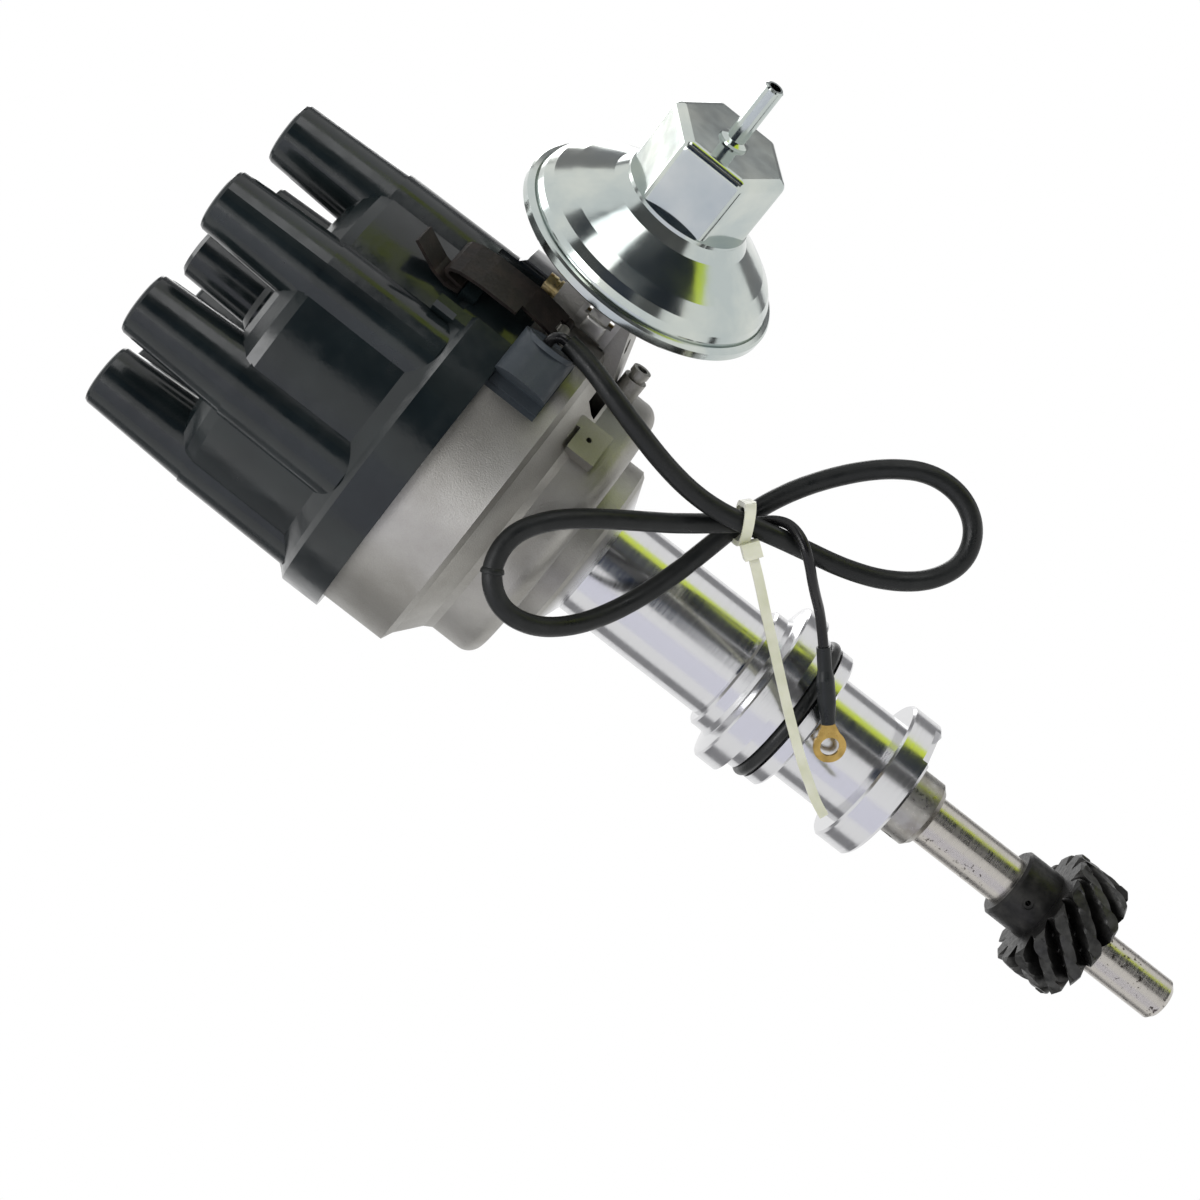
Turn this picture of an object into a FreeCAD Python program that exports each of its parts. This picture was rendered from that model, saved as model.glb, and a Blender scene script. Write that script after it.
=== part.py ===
import FreeCAD, Part
import math
import os

# Ignition distributor for a V8 engine, in millimetres. The origin is on the shaft axis at the
# seat of the hold-down flange, and +Z runs up the shaft to the cap.

# Directions round the shaft, in degrees from +X
GROMMET_AZ = -60.5
CLIP_AZ = -45.7
VACUUM_AZ = -36.5
OIL_TUBE_AZ = -24.0
TOWER_AZ = -72.5

# Fits
RUNNING = 0.04
SLIDING = 0.3
GAP = 0.3
END_PLAY = 0.2
THROUGH = 1.0

# Shaft and drive gear
SHAFT_R = 6.745
SHAFT_TIP_R = 5.93
SHAFT_NECK_R = 4.9
SHAFT_BOTTOM = -128.4
SHAFT_CHAMFER = 1.2
SEAT_OVER_SHAFT = 6.0
HEX_SOCKET_FLATS = 6.4
HEX_SOCKET_DEPTH = 15.0
GEAR_BOTTOM = -103.3
GEAR_HEIGHT = 15.4
GEAR_TEETH = 13
GEAR_TIP_R = 17.1
GEAR_ROOT_R = 12.9
GEAR_TWIST = 44.0
GEAR_BEVEL = 0.9
GEAR_PROFILE = ((0.0, GEAR_ROOT_R), (0.2, GEAR_TIP_R - 0.6), (0.27, GEAR_TIP_R),
                (0.62, GEAR_TIP_R), (0.69, GEAR_TIP_R - 0.6), (0.89, GEAR_ROOT_R))
GEAR_SECTIONS = 4
HUB_R = 9.7
HUB_HEIGHT = 10.6
ROLL_PIN_R = 1.6
GEAR_PIN_AZ = 82.0
COLLAR_PIN_AZ = 5.0
PIN_REACH = 40.0
PIN_SHORT = 1.0
COLLAR_R = 9.53
COLLAR_LENGTH = 11.0
COLLAR_CHAMFER = 1.5

# Housing stem
FLANGE_R = 23.5
FLANGE_T = 6.3
SHOULDER_R = 17.7
SHOULDER_TOP = 12.2
TUBE_R = 15.2
PILOT_R = 20.2
PILOT_LENGTH = 11.0
GROOVE_TOP = -3.3
GROOVE_WIDTH = 3.9
GROOVE_DEPTH = 2.9
O_RING_R = 1.75
LAND_R = 20.5
LAND_TOP = -30.3
LAND_BOTTOM = -39.5
BUSH_WALL = 2.0
LOWER_BUSH_LENGTH = 22.0
UPPER_BUSH_LENGTH = 14.0
STEM_BORE_R = 10.2

# Housing bowl
NECK_R = 24.6
NECK_BOTTOM = 59.2
NECK_CONE_BOTTOM = 56.0
BOWL_BOTTOM = 65.5
BOWL_R = 38.6
BOWL_FILLET = 4.5
BOWL_TOP = 78.0
BOWL_WALL = 3.2
FLOOR_T = 3.3
WALL_R = 48.8
WALL_T = 2.9
WALL_BOTTOM = 86.4
LEDGE_Z = 83.4
LEDGE_WIDTH = 5.2
LEDGE_OVERLAP = 1.0
WALL_TOP = 104.1
SPIGOT_HEIGHT = 2.8
SPIGOT_T = 1.6

# Pad that carries the vacuum unit, in the frame of its rod: x out along the rod, y across it
ROD_OFFSET = 26.2
ROD_Z = 93.3
PAD_NEAR = 0.6
PAD_FAR = 38.5
PAD_IN = 38.0
PAD_OUT = 58.0
PAD_R = 59.8
PAD_BOTTOM = 85.0
SLOT_BOTTOM = 87.2
SLOT_TOP = 97.6
NEAR_SCREW = (51.8, 4.6)
FAR_SCREW = (44.5, 34.0)

SCREW_R = 1.9
SCREW_HEAD_R = 2.9
SCREW_HEAD_T = 2.3
SCREW_WASHER_T = 0.8
SCREW_SLOT_HALF = 0.4
SCREW_SLOT_DEPTH = 1.0
SPRING_WASHER_T = 0.9
SCREW_ROOM = 0.9

# Oil tube and alignment lug on the bowl
OIL_Z = 76.6
OIL_BOSS_R = 3.1
OIL_TUBE_R = 2.0
OIL_BORE_R = 1.4
OIL_LIP = 0.5
OIL_TUBE_OUT = BOWL_R + 8.4
LUG_WIDTH = 9.8
LUG_HEIGHT = 12.2
LUG_BOTTOM = 72.4
LUG_OUT = 3.0
VENT_HALF = 3.6

# Vacuum unit
RIM_X = 64.0
CAN_R = 35.0
CAN_SHEET = 1.2
HEX_FLATS = 29.0
HEX_START = 17.0
HEX_END = 36.6
HEX_ROUND = 2.4
HEX_FOOT = 2.0
NIPPLE_R = 2.45
NIPPLE_BORE_R = 1.5
NIPPLE_LENGTH = 17.3
BRACKET_T = 1.4
ROD_T = 1.4
ROD_WIDTH = 6.0
ROD_PIN_R = 1.6

# Plates and cam inside the bowl
WEIGHT_PLATE_Z = 70.4
WEIGHT_PLATE_T = 2.0
WEIGHT_PLATE_R = 25.5
WEIGHT_T = 4.6
WEIGHT_INNER_R = 13.8
WEIGHT_OUTER_R = 27.0
PIVOT_RADIUS = 20.0
PIVOT_R = 2.0
DRIVE_PIN_R = 1.6
DRIVE_RADIUS = 17.5
DRIVE_AZ = -128.0
DRIVE_TRAVEL = 3.1
SPRING_POST_RADIUS = 21.5
SPRING_POST_AZ = 26.5
SPRING_POST_R = 1.1
SPRING_PEG_RADIUS = 12.5
SPRING_PEG_AZ = 72.0
SPRING_PEG_R = 0.9
SPRING_COIL_R = 1.0
CAM_PLATE_T = 1.6
CAM_PLATE_R = 24.5
CAM_PLATE_HALF = 6.8
SLEEVE_R = 7.6
CAM_R = 12.0
CAM_FLATS = 22.9
CAM_BOTTOM = 89.6
CAM_TOP = 99.6
ROTOR_SEAT_R = 8.4
KEY_DEPTH = 1.3
KEY_HALF = 1.5
RETAINER_R = 6.2
RETAINER_T = 1.0
WICK_R = 3.3
ROTOR_SEAT_TOP = 110.0
BASE_PLATE_T = 1.6
HUB_RING_R = 17.0
HUB_RING_T = 2.4
BREAKER_PLATE_T = 1.5
PLATE_SCREW_AZ = (100.0, -115.0)
PLATE_SCREW_R = 1.5
PLATE_SCREW_HEAD_R = 2.8
PLATE_SCREW_HEAD_T = 1.8
PLATE_SCREW_DEPTH = 2.8
MID_SWING = 4.0

# Contact set, in a frame turned to its own direction: x out from the shaft and y round it
CONTACT_AZ = 157.5
ARM_PIVOT = (26.0, -13.5)
ARM_PIVOT_R = 1.5
ARM_LIFT = 3.2
ARM_T = 5.0
ARM_SHEET = 1.2
ARM_LINE = 19.8
ARM_END = 11.4
CONTACT_R = 1.9
CONTACT_Y = 9.2
CONTACT_GAP = 0.4
CONTACT_T = 0.9
CONTACT_BACK = 1.3
CONTACT_FOOT = ((19.8, -9.0), (32.0, -9.0), (32.5, 8.0), (28.0, 15.5), (18.0, 14.5))
CONTACT_UPRIGHT_Y = 7.2
CONTACT_SCREWS = ((29.0, -5.4), (28.6, 4.0))
CONTACT_SCREW_R = 2.6
CONTACT_SCREW_T = 1.8
CONDENSER_AZ = 262.0
CONDENSER_X = 27.2
CONDENSER_R = 4.4
CONDENSER_HALF = 9.5
CONDENSER_BAND = 0.6
CONDENSER_BAND_HALF = 3.0
CONDENSER_FOOT = 6.8

# Rotor and the electrical path
ROTOR_R = 14.5
ROTOR_BOTTOM = 103.2
ROTOR_DECK = 115.2
ROTOR_ARM_R = 30.0
ROTOR_TIP_R = 35.6
ROTOR_TIP_T = 1.2
ROTOR_AZ = TOWER_AZ + 90.0
BRUSH_R = 2.4
LEAF_T = 0.5
BRUSH_TIP = 121.6
BRUSH_LENGTH = 18.0
BRUSH_BOSS_R = 5.0
BRUSH_BOSS_BOTTOM = 126.0
COIL_TERMINAL_LENGTH = 6.0

# Cap
RIM_R = WALL_R + 3.1
RIM_TOP = 115.9
CAP_R = 47.2
CAP_FOOT_Z = 120.2
CAP_SHOULDER_Z = 148.2
DECK_R = 36.0
DECK_Z = 156.2
DECK_CROWN = 2.6
CAP_BORE_R = 43.3
CAP_CEILING = 137.0
TOWER_RADIUS = 39.7
TOWERS = 8
COLUMN_FOOT_R = 10.7
COLUMN_TOP_R = 10.1
COLUMN_TOP = 149.2
TOWER_FOOT_R = 9.75
TOWER_TIP_R = 8.4
TOWER_TOP = 178.8
TOWER_EDGE = 1.1
COIL_FOOT_R = 8.0
COIL_TIP_R = 7.4
COIL_TOP = 180.9
SOCKET_R = 4.3
SOCKET_DEPTH = 21.0
TERMINAL_R = 3.3
TERMINAL_BOTTOM = 113.6
TERMINAL_CLAD = 1.1
TERMINAL_CLAD_BOTTOM = 122.0

# Spring clips, in a frame with x out from the shaft and y round it
CLIP_T = 0.9
CLIP_HALF = 6.2
CLIP_LOW_LEFT = -3.0
CLIP_PIVOT_R = WALL_R + 1.8
CLIP_PIVOT_Z = WALL_TOP - 6.6
CLIP_PIN_R = 1.0
CLIP_EYE_R = 1.5
POCKET_R = CAP_R + 1.2
POCKET_HALF_AZ = 13.4
CATCH_R = CAP_R + 3.0
CATCH_BOTTOM = RIM_TOP + 1.7
CATCH_TOP = CATCH_BOTTOM + 4.2
KNUCKLE = (-0.4, 3.4)
TAB_SIDE = (-7.2, -0.6)

# Lead grommet, plan corners as (radius, degrees from the grommet's own direction)
GROMMET_TOP = WALL_TOP
GROMMET_BOTTOM = GROMMET_TOP - 14.0
NOTCH_HALF_AZ = 11.2
GROMMET_NOSE = ((WALL_R + 1.6, -6.6), (WALL_R + 9.4, -8.6), (WALL_R + 9.4, 2.4), (WALL_R + 2.8, 10.0))
GROMMET_ROUND = 5.6

# Leads. The routes are in millimetres from the origin.
SLEEVE_DIAMETER = 4.9
WIRE_DIAMETER = 2.6
LEAD_HOLE_Z = 98.4
LEAD_HOLE_DEPTH = 4.0
LEAD_SOCKET_DEPTH = 3.0
TIE_WIDTH = 2.6
TIE_T = 1.2
TAIL_WIDTH = 2.4
TAIL_T = 1.1
RING_R = 4.1
RING_HOLE_R = 2.4
RING_T = 0.9
ARC_SHARE = 0.45
LOCK_WIDTH = 4.4
LOCK_DEPTH = 4.2
LOCK_LENGTH = 4.0
LOCK_LEAD = 1.0
WIRE_ROOM = 0.1
TIE_STRAND_R = 4.0
LEAD_CORNER = (35.3, -45.35, 98.4)
LEAD_ROUTE = [
    (34.9, -45.7, 94.8), (34.2, -46.2, 88.4), (31.8, -48, 80.4), (29.1, -47.5, 70.7), (26.7, -45, 60.3),
    (25.6, -41.8, 50.3), (26.4, -40.0, 40.7), (29.3, -39.4, 30.7), (31.8, -35.8, 20.8), (34.2, -34, 10.2),
    (38.2, -33.2, 0), (44.7, -33, -8.5), (53.2, -33, -12.4), (61.3, -33, -9.5), (65.8, -33, -1.8),
    (65.3, -32.5, 7.8), (59.8, -31.5, 16.4), (52.0, -30, 23.8), (42.2, -29.0, 30.6), (31.4, -28.6, 35.4),
    (19.4, -28.7, 38.0), (6.6, -29.5, 41.2), (-5.4, -32.5, 45.8), (-15.3, -37.5, 51.9), (-22.2, -43, 60.2),
    (-23.5, -46.5, 69.7), (-17.9, -47.5, 76.9), (-8.4, -47.5, 78.3), (0.1, -47, 73.0), (6.7, -45, 65.0),
    (12.9, -41.3, 55.9), (19.2, -37.8, 46.6), (27.6, -34.1, 36.4),
]
WIRE_ROUTE = [
    (25.8, -34.9, 38.6), (29.1, -33.5, 34.5), (34.3, -37.0, 29.1), (33.8, -41.0, 24.1), (30.4, -42.2, 19.1),
    (25.9, -37.5, 13.3), (21.9, -28.3, 5.9), (14.8, -26.5, -0.8),
]
HEAT_SHRINK = [(16.9, -27.0, 1.2), (3.0, -23.5, -11.9)]
RING_CENTRE = (-1.1, -21.8, -15.9)
RING_FACING = (0.25, -1.0, 0.2)
TIE_NORMAL = (0.713, 0, -0.701)
TIE_STRANDS = [(27.9, -39.5, 35.6), (28.1, -34.0, 35.8), (28.4, -28.7, 36.05)]
TAIL_ROUTE = [
    (24.3, -41.5, 31.9), (20.5, -40.5, 26.6), (13.1, -37.0, 17.1), (5.7, -32.5, 7.1), (-1.5, -29.0, -2.4),
    (-8.2, -26.5, -11.9), (-13.6, -24.0, -20.9), (-15.3, -22.5, -25.2),
]


def vector(x, y, z):
    return FreeCAD.Vector(x, y, z)


def polar(radius, azimuth, z=0.0):
    angle = math.radians(azimuth)
    return vector(radius * math.cos(angle), radius * math.sin(angle), z)


def cylinder(radius, bottom, top, x=0.0, y=0.0):
    return Part.makeCylinder(radius, top - bottom, vector(x, y, bottom))


def ring(outer, inner, bottom, top):
    return cylinder(outer, bottom, top).cut(cylinder(inner, bottom - THROUGH, top + THROUGH))


def cone(bottom_r, top_r, bottom, top, x=0.0, y=0.0):
    return Part.makeCone(bottom_r, top_r, top - bottom, vector(x, y, bottom))


def block(x0, x1, y0, y1, z0, z1):
    return Part.makeBox(x1 - x0, y1 - y0, z1 - z0, vector(x0, y0, z0))


def turned(profile):
    """A solid of revolution about Z from corners given as (radius, z)."""
    corners = [vector(r, 0, z) for r, z in profile]
    wire = Part.makePolygon(corners + corners[:1])
    return Part.Face(wire).revolve(vector(0, 0, 0), vector(0, 0, 1), 360)


def prism(outline, bottom, top):
    corners = [vector(x, y, bottom) for x, y in outline]
    wire = Part.makePolygon(corners + corners[:1])
    return Part.Face(wire).extrude(vector(0, 0, top - bottom))


def spun(shape, azimuth, centre=(0, 0)):
    """A copy turned about the shaft axis, or about an upright line through centre."""
    copy = shape.copy()
    copy.rotate(vector(centre[0], centre[1], 0), vector(0, 0, 1), azimuth)
    return copy


def moved(shape, x, y, z):
    copy = shape.copy()
    copy.translate(vector(x, y, z))
    return copy


def joined(shapes):
    """One solid from several that meet or overlap."""
    result = shapes[0].fuse(shapes[1:]) if len(shapes) > 1 else shapes[0]
    return result.removeSplitter()


def cross_pin(radius, length, z, azimuth=0.0, centre=(0, 0)):
    """A pin that lies level, centred on an upright line."""
    pin = Part.makeCylinder(radius, length, vector(-length / 2, 0, 0), vector(1, 0, 0))
    pin = spun(pin, azimuth)
    return moved(pin, centre[0], centre[1], z)


def hexagon(flats, bottom, top):
    corner = flats / 2 / math.cos(math.pi / 6)
    outline = [(corner * math.cos(k * math.pi / 3), corner * math.sin(k * math.pi / 3)) for k in range(6)]
    return prism(outline, bottom, top)


def strip(points, thickness, left, right):
    """A bent strip of sheet. Points are its middle line in x and z, and y runs across it."""
    half = thickness / 2
    sides = ([], [])
    for index, (x, z) in enumerate(points):
        before = points[max(index - 1, 0)]
        after = points[min(index + 1, len(points) - 1)]
        run_in = math.atan2(z - before[1], x - before[0]) if index else None
        run_out = math.atan2(after[1] - z, after[0] - x) if index < len(points) - 1 else None
        run_in = run_out if run_in is None else run_in
        run_out = run_in if run_out is None else run_out
        turn = math.atan2(math.sin(run_out - run_in), math.cos(run_out - run_in))
        normal = run_in + turn / 2 + math.pi / 2
        reach = half / math.cos(turn / 2)
        sides[0].append(vector(x + reach * math.cos(normal), left, z + reach * math.sin(normal)))
        sides[1].append(vector(x - reach * math.cos(normal), left, z - reach * math.sin(normal)))
    corners = sides[0] + sides[1][::-1]
    wire = Part.makePolygon(corners + corners[:1])
    return Part.Face(wire).extrude(vector(0, right - left, 0))


# Levels that follow from the sizes above
BUSH_R = SHAFT_R + BUSH_WALL
BOWL_FLOOR = BOWL_BOTTOM + FLOOR_T
UPPER_BUSH_TOP = BOWL_FLOOR + 0.4
PLATE_TOP = WEIGHT_PLATE_Z + WEIGHT_PLATE_T
WEIGHT_Z = PLATE_TOP + GAP
WEIGHT_TOP = WEIGHT_Z + WEIGHT_T
CAM_PLATE_Z = WEIGHT_TOP + GAP
CAM_PLATE_TOP = CAM_PLATE_Z + CAM_PLATE_T
BASE_PLATE_TOP = LEDGE_Z + BASE_PLATE_T
BREAKER_Z = BASE_PLATE_TOP + GAP
BREAKER_TOP = BREAKER_Z + BREAKER_PLATE_T
ARM_Z = BREAKER_TOP + ARM_LIFT
SPRING_Z = CAM_PLATE_TOP + SPRING_COIL_R + GAP
ROD_BOTTOM = ROD_Z - ROD_T / 2
ROD_TOP = ROD_Z + ROD_T / 2
SHAFT_TOP = ROTOR_SEAT_TOP - SEAT_OVER_SHAFT
GEAR_TOP = GEAR_BOTTOM + GEAR_HEIGHT
HUB_TOP = GEAR_TOP + HUB_HEIGHT
COLLAR_TOP = LAND_BOTTOM - END_PLAY
BOWL_BORE_R = BOWL_R - BOWL_WALL
BASE_PLATE_R = BOWL_BORE_R + LEDGE_WIDTH - 2 * GAP
BREAKER_PLATE_R = BOWL_BORE_R - LEDGE_OVERLAP
WALL_BORE_R = WALL_R - WALL_T


def vacuum_frame(shape):
    """Puts a piece drawn with x along the vacuum rod in its place round the shaft."""
    return spun(shape, VACUUM_AZ)


def on_rod_axis(shape):
    """Lays a turned piece along the vacuum rod: its z becomes the distance out from the shaft."""
    copy = shape.copy()
    copy.rotate(vector(0, 0, 0), vector(0, 1, 0), 90)
    copy.translate(vector(0, ROD_OFFSET, ROD_Z))
    return vacuum_frame(copy)


def housing():
    """The casting: stem, neck, bowl, and the pad for the vacuum unit."""
    stem_and_bowl = [
        (0, LAND_BOTTOM), (LAND_R - 0.8, LAND_BOTTOM), (LAND_R, LAND_BOTTOM + 0.8),
        (LAND_R, LAND_TOP - 0.6), (LAND_R - 0.6, LAND_TOP), (TUBE_R, LAND_TOP),
        (TUBE_R, -PILOT_LENGTH), (PILOT_R - 0.6, -PILOT_LENGTH), (PILOT_R, 0.6 - PILOT_LENGTH),
        (PILOT_R, GROOVE_TOP - GROOVE_WIDTH), (PILOT_R - GROOVE_DEPTH, GROOVE_TOP - GROOVE_WIDTH),
        (PILOT_R - GROOVE_DEPTH, GROOVE_TOP), (PILOT_R, GROOVE_TOP), (PILOT_R, 0),
        (FLANGE_R, 0), (FLANGE_R, FLANGE_T - 0.5), (FLANGE_R - 0.5, FLANGE_T),
        (SHOULDER_R + 0.8, FLANGE_T + 1.0), (SHOULDER_R, FLANGE_T + 2.2),
        (SHOULDER_R, SHOULDER_TOP - 0.6), (SHOULDER_R - 0.6, SHOULDER_TOP), (TUBE_R, SHOULDER_TOP),
        (TUBE_R, NECK_CONE_BOTTOM), (NECK_R - 1.0, NECK_BOTTOM), (NECK_R, NECK_BOTTOM + 1.0),
        (NECK_R, BOWL_BOTTOM), (BOWL_R, BOWL_BOTTOM), (BOWL_R, BOWL_TOP), (BOWL_R + 1.2, BOWL_TOP + 2.0),
        (WALL_R - 3.0, WALL_BOTTOM - 1.4), (WALL_R, WALL_BOTTOM), (WALL_R, WALL_TOP),
        (WALL_BORE_R + SPIGOT_T, WALL_TOP), (WALL_BORE_R + SPIGOT_T, WALL_TOP + SPIGOT_HEIGHT),
        (0, WALL_TOP + SPIGOT_HEIGHT),
    ]
    body = turned(stem_and_bowl)
    corner = [e for e in body.Edges if is_circle(e, BOWL_R, BOWL_BOTTOM)]
    body = body.makeFillet(BOWL_FILLET, corner)
    body = body.fuse([pad(), oil_boss(), alignment_lug()])
    chamber = turned([
        (0, BOWL_FLOOR), (BOWL_BORE_R - 2.0, BOWL_FLOOR), (BOWL_BORE_R, BOWL_FLOOR + 2.0),
        (BOWL_BORE_R, LEDGE_Z), (BOWL_BORE_R + LEDGE_WIDTH, LEDGE_Z),
        (WALL_BORE_R, WALL_BOTTOM + 2.2), (WALL_BORE_R, WALL_TOP + SPIGOT_HEIGHT + THROUGH),
        (0, WALL_TOP + SPIGOT_HEIGHT + THROUGH),
    ])
    tools = [
        chamber,
        cylinder(BUSH_R, LAND_BOTTOM - THROUGH, BOWL_FLOOR + THROUGH),
        cylinder(STEM_BORE_R, LAND_BOTTOM + LOWER_BUSH_LENGTH, BOWL_FLOOR - UPPER_BUSH_LENGTH),
        rod_window(), grommet_notch(), oil_bore(), land_notch(), vent_slot(),
    ]
    for spot in plate_screw_spots():
        tools.append(cylinder(PLATE_SCREW_R, LEDGE_Z - PLATE_SCREW_DEPTH, LEDGE_Z + THROUGH, spot.x, spot.y))
    body = body.cut(tools)
    knuckles = [spun(clip_knuckle(), az) for az in clip_directions()]
    return joined([body] + knuckles)


def is_circle(edge, radius, z):
    curve = edge.Curve
    if not isinstance(curve, Part.Circle):
        return False
    return abs(curve.Radius - radius) < 0.01 and abs(curve.Center.z - z) < 0.01


def pad():
    """Cast ears above and below the slot of the vacuum bracket, with a gusset under them."""
    ears = block(PAD_IN, PAD_OUT, PAD_NEAR, PAD_FAR, PAD_BOTTOM, WALL_TOP)
    slot = block(PAD_IN - THROUGH, PAD_OUT + THROUGH, PAD_NEAR - THROUGH, PAD_FAR + THROUGH, SLOT_BOTTOM,
                 SLOT_TOP)
    round_off = cylinder(PAD_R, PAD_BOTTOM - THROUGH, WALL_TOP + THROUGH)
    ears = ears.common(round_off).cut(slot.cut(cylinder(WALL_R - 0.5, PAD_BOTTOM, WALL_TOP)))
    gusset = cone(BOWL_R + 0.8, PAD_R - 1.5, BOWL_TOP + 1.4, PAD_BOTTOM)
    gusset = gusset.common(block(PAD_IN - 8, PAD_OUT, PAD_NEAR, PAD_FAR, BOWL_TOP, PAD_BOTTOM))
    holes = [cylinder(SCREW_R, PAD_BOTTOM - 8, WALL_TOP + THROUGH, *spot) for spot in (NEAR_SCREW, FAR_SCREW)]
    return vacuum_frame(ears.fuse(gusset).cut(holes))


def rod_window():
    """The hole in the bowl's wall that the vacuum rod and its bracket pass through."""
    return vacuum_frame(block(PAD_IN - 12, PAD_IN + 10, ROD_OFFSET - 8, ROD_OFFSET + 8,
                              SLOT_BOTTOM + BRACKET_T, SLOT_TOP - BRACKET_T))


def oil_boss():
    """The stub on the bowl that the oil tube is pressed in."""
    return Part.makeCylinder(OIL_BOSS_R, 8.0, polar(BOWL_R - 2.4, OIL_TUBE_AZ, OIL_Z), polar(1, OIL_TUBE_AZ))


def oil_bore():
    return Part.makeCylinder(OIL_TUBE_R, 20.0, polar(BOWL_R - 0.6, OIL_TUBE_AZ, OIL_Z), polar(1, OIL_TUBE_AZ))


def oil_tube():
    """A short open tube that leads oil to the upper bush."""
    start = polar(BOWL_R - 0.6, OIL_TUBE_AZ, OIL_Z)
    outward = polar(1, OIL_TUBE_AZ)
    length = OIL_TUBE_OUT - BOWL_R + 0.6
    tube = Part.makeCylinder(OIL_TUBE_R, length, start, outward)
    lip = Part.makeCylinder(OIL_TUBE_R + OIL_LIP, 1.6, polar(OIL_TUBE_OUT - 1.6, OIL_TUBE_AZ, OIL_Z), outward)
    bore = Part.makeCylinder(OIL_BORE_R, length + 2, start, outward)
    return joined([tube, lip]).cut(bore)


def alignment_lug():
    """The machined five-sided lug on the bowl that shows where the first tower stands."""
    half = LUG_WIDTH / 2
    top = LUG_BOTTOM + LUG_HEIGHT
    outline = [(-half, LUG_BOTTOM), (half, LUG_BOTTOM), (half, top - 3.4), (half * 0.4, top),
               (-half, top - 4.6)]
    corners = [vector(BOWL_R - 3.0, y, z) for y, z in outline]
    face = Part.Face(Part.makePolygon(corners + corners[:1]))
    lug = face.extrude(vector(LUG_OUT + 3.0, 0, 0))
    cleft = block(BOWL_R - 0.2, BOWL_R + 4, -half - THROUGH, half * 0.3, top - 4.4, top - 3.2)
    hole = Part.makeCylinder(0.7, 3.0, vector(BOWL_R, 0.2, LUG_BOTTOM + 4.4), vector(1, 0, 0))
    return spun(lug.cut([cleft, hole]), GROMMET_AZ)


def grommet_notch():
    """The gap in the bowl's wall that the grommet is pushed down into."""
    wide = wedge(WALL_BORE_R - 4, PAD_R + 10, NOTCH_HALF_AZ, GROMMET_BOTTOM,
                 WALL_TOP + SPIGOT_HEIGHT + THROUGH)
    return spun(wide, GROMMET_AZ)


def wedge(inner, outer, half_azimuth, bottom, top):
    """A slice of a ring, centred on +X."""
    whole = ring(outer, inner, bottom, top)
    reach = outer * 3
    slope = math.tan(math.radians(half_azimuth))
    slice_plan = prism([(0, 0), (reach, -reach * slope), (reach, reach * slope)], bottom, top)
    return whole.common(slice_plan)


def land_notch():
    """The flat broken out of the lower land's bottom edge."""
    return spun(block(LAND_R - 3.2, LAND_R + 2, -6.0, 6.0, LAND_BOTTOM - THROUGH, LAND_BOTTOM + 2.4), -42.0)


def vent_slot():
    """The vent through the shoulder of the bowl."""
    slot = block(BOWL_R - 6, WALL_R, -VENT_HALF, VENT_HALF, BOWL_TOP + 0.8, LEDGE_Z - 1.0)
    return spun(slot, GROMMET_AZ + 16.5)


def clip_directions():
    return (CLIP_AZ, CLIP_AZ + 180)


def clip_knuckle():
    """The eye on the wall between the two eyes of a spring clip."""
    low, high = KNUCKLE[0] + SLIDING / 2, KNUCKLE[1] - SLIDING / 2
    root = block(WALL_R - 1.6, CLIP_PIVOT_R, low, high, CLIP_PIVOT_Z - CLIP_EYE_R, CLIP_PIVOT_Z + CLIP_EYE_R)
    eye = Part.makeCylinder(CLIP_EYE_R, high - low, vector(CLIP_PIVOT_R, low, CLIP_PIVOT_Z), vector(0, 1, 0))
    hole = Part.makeCylinder(CLIP_PIN_R, PIN_REACH, vector(CLIP_PIVOT_R, -PIN_REACH / 2, CLIP_PIVOT_Z),
                             vector(0, 1, 0))
    return root.fuse(eye).cut(hole)


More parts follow.
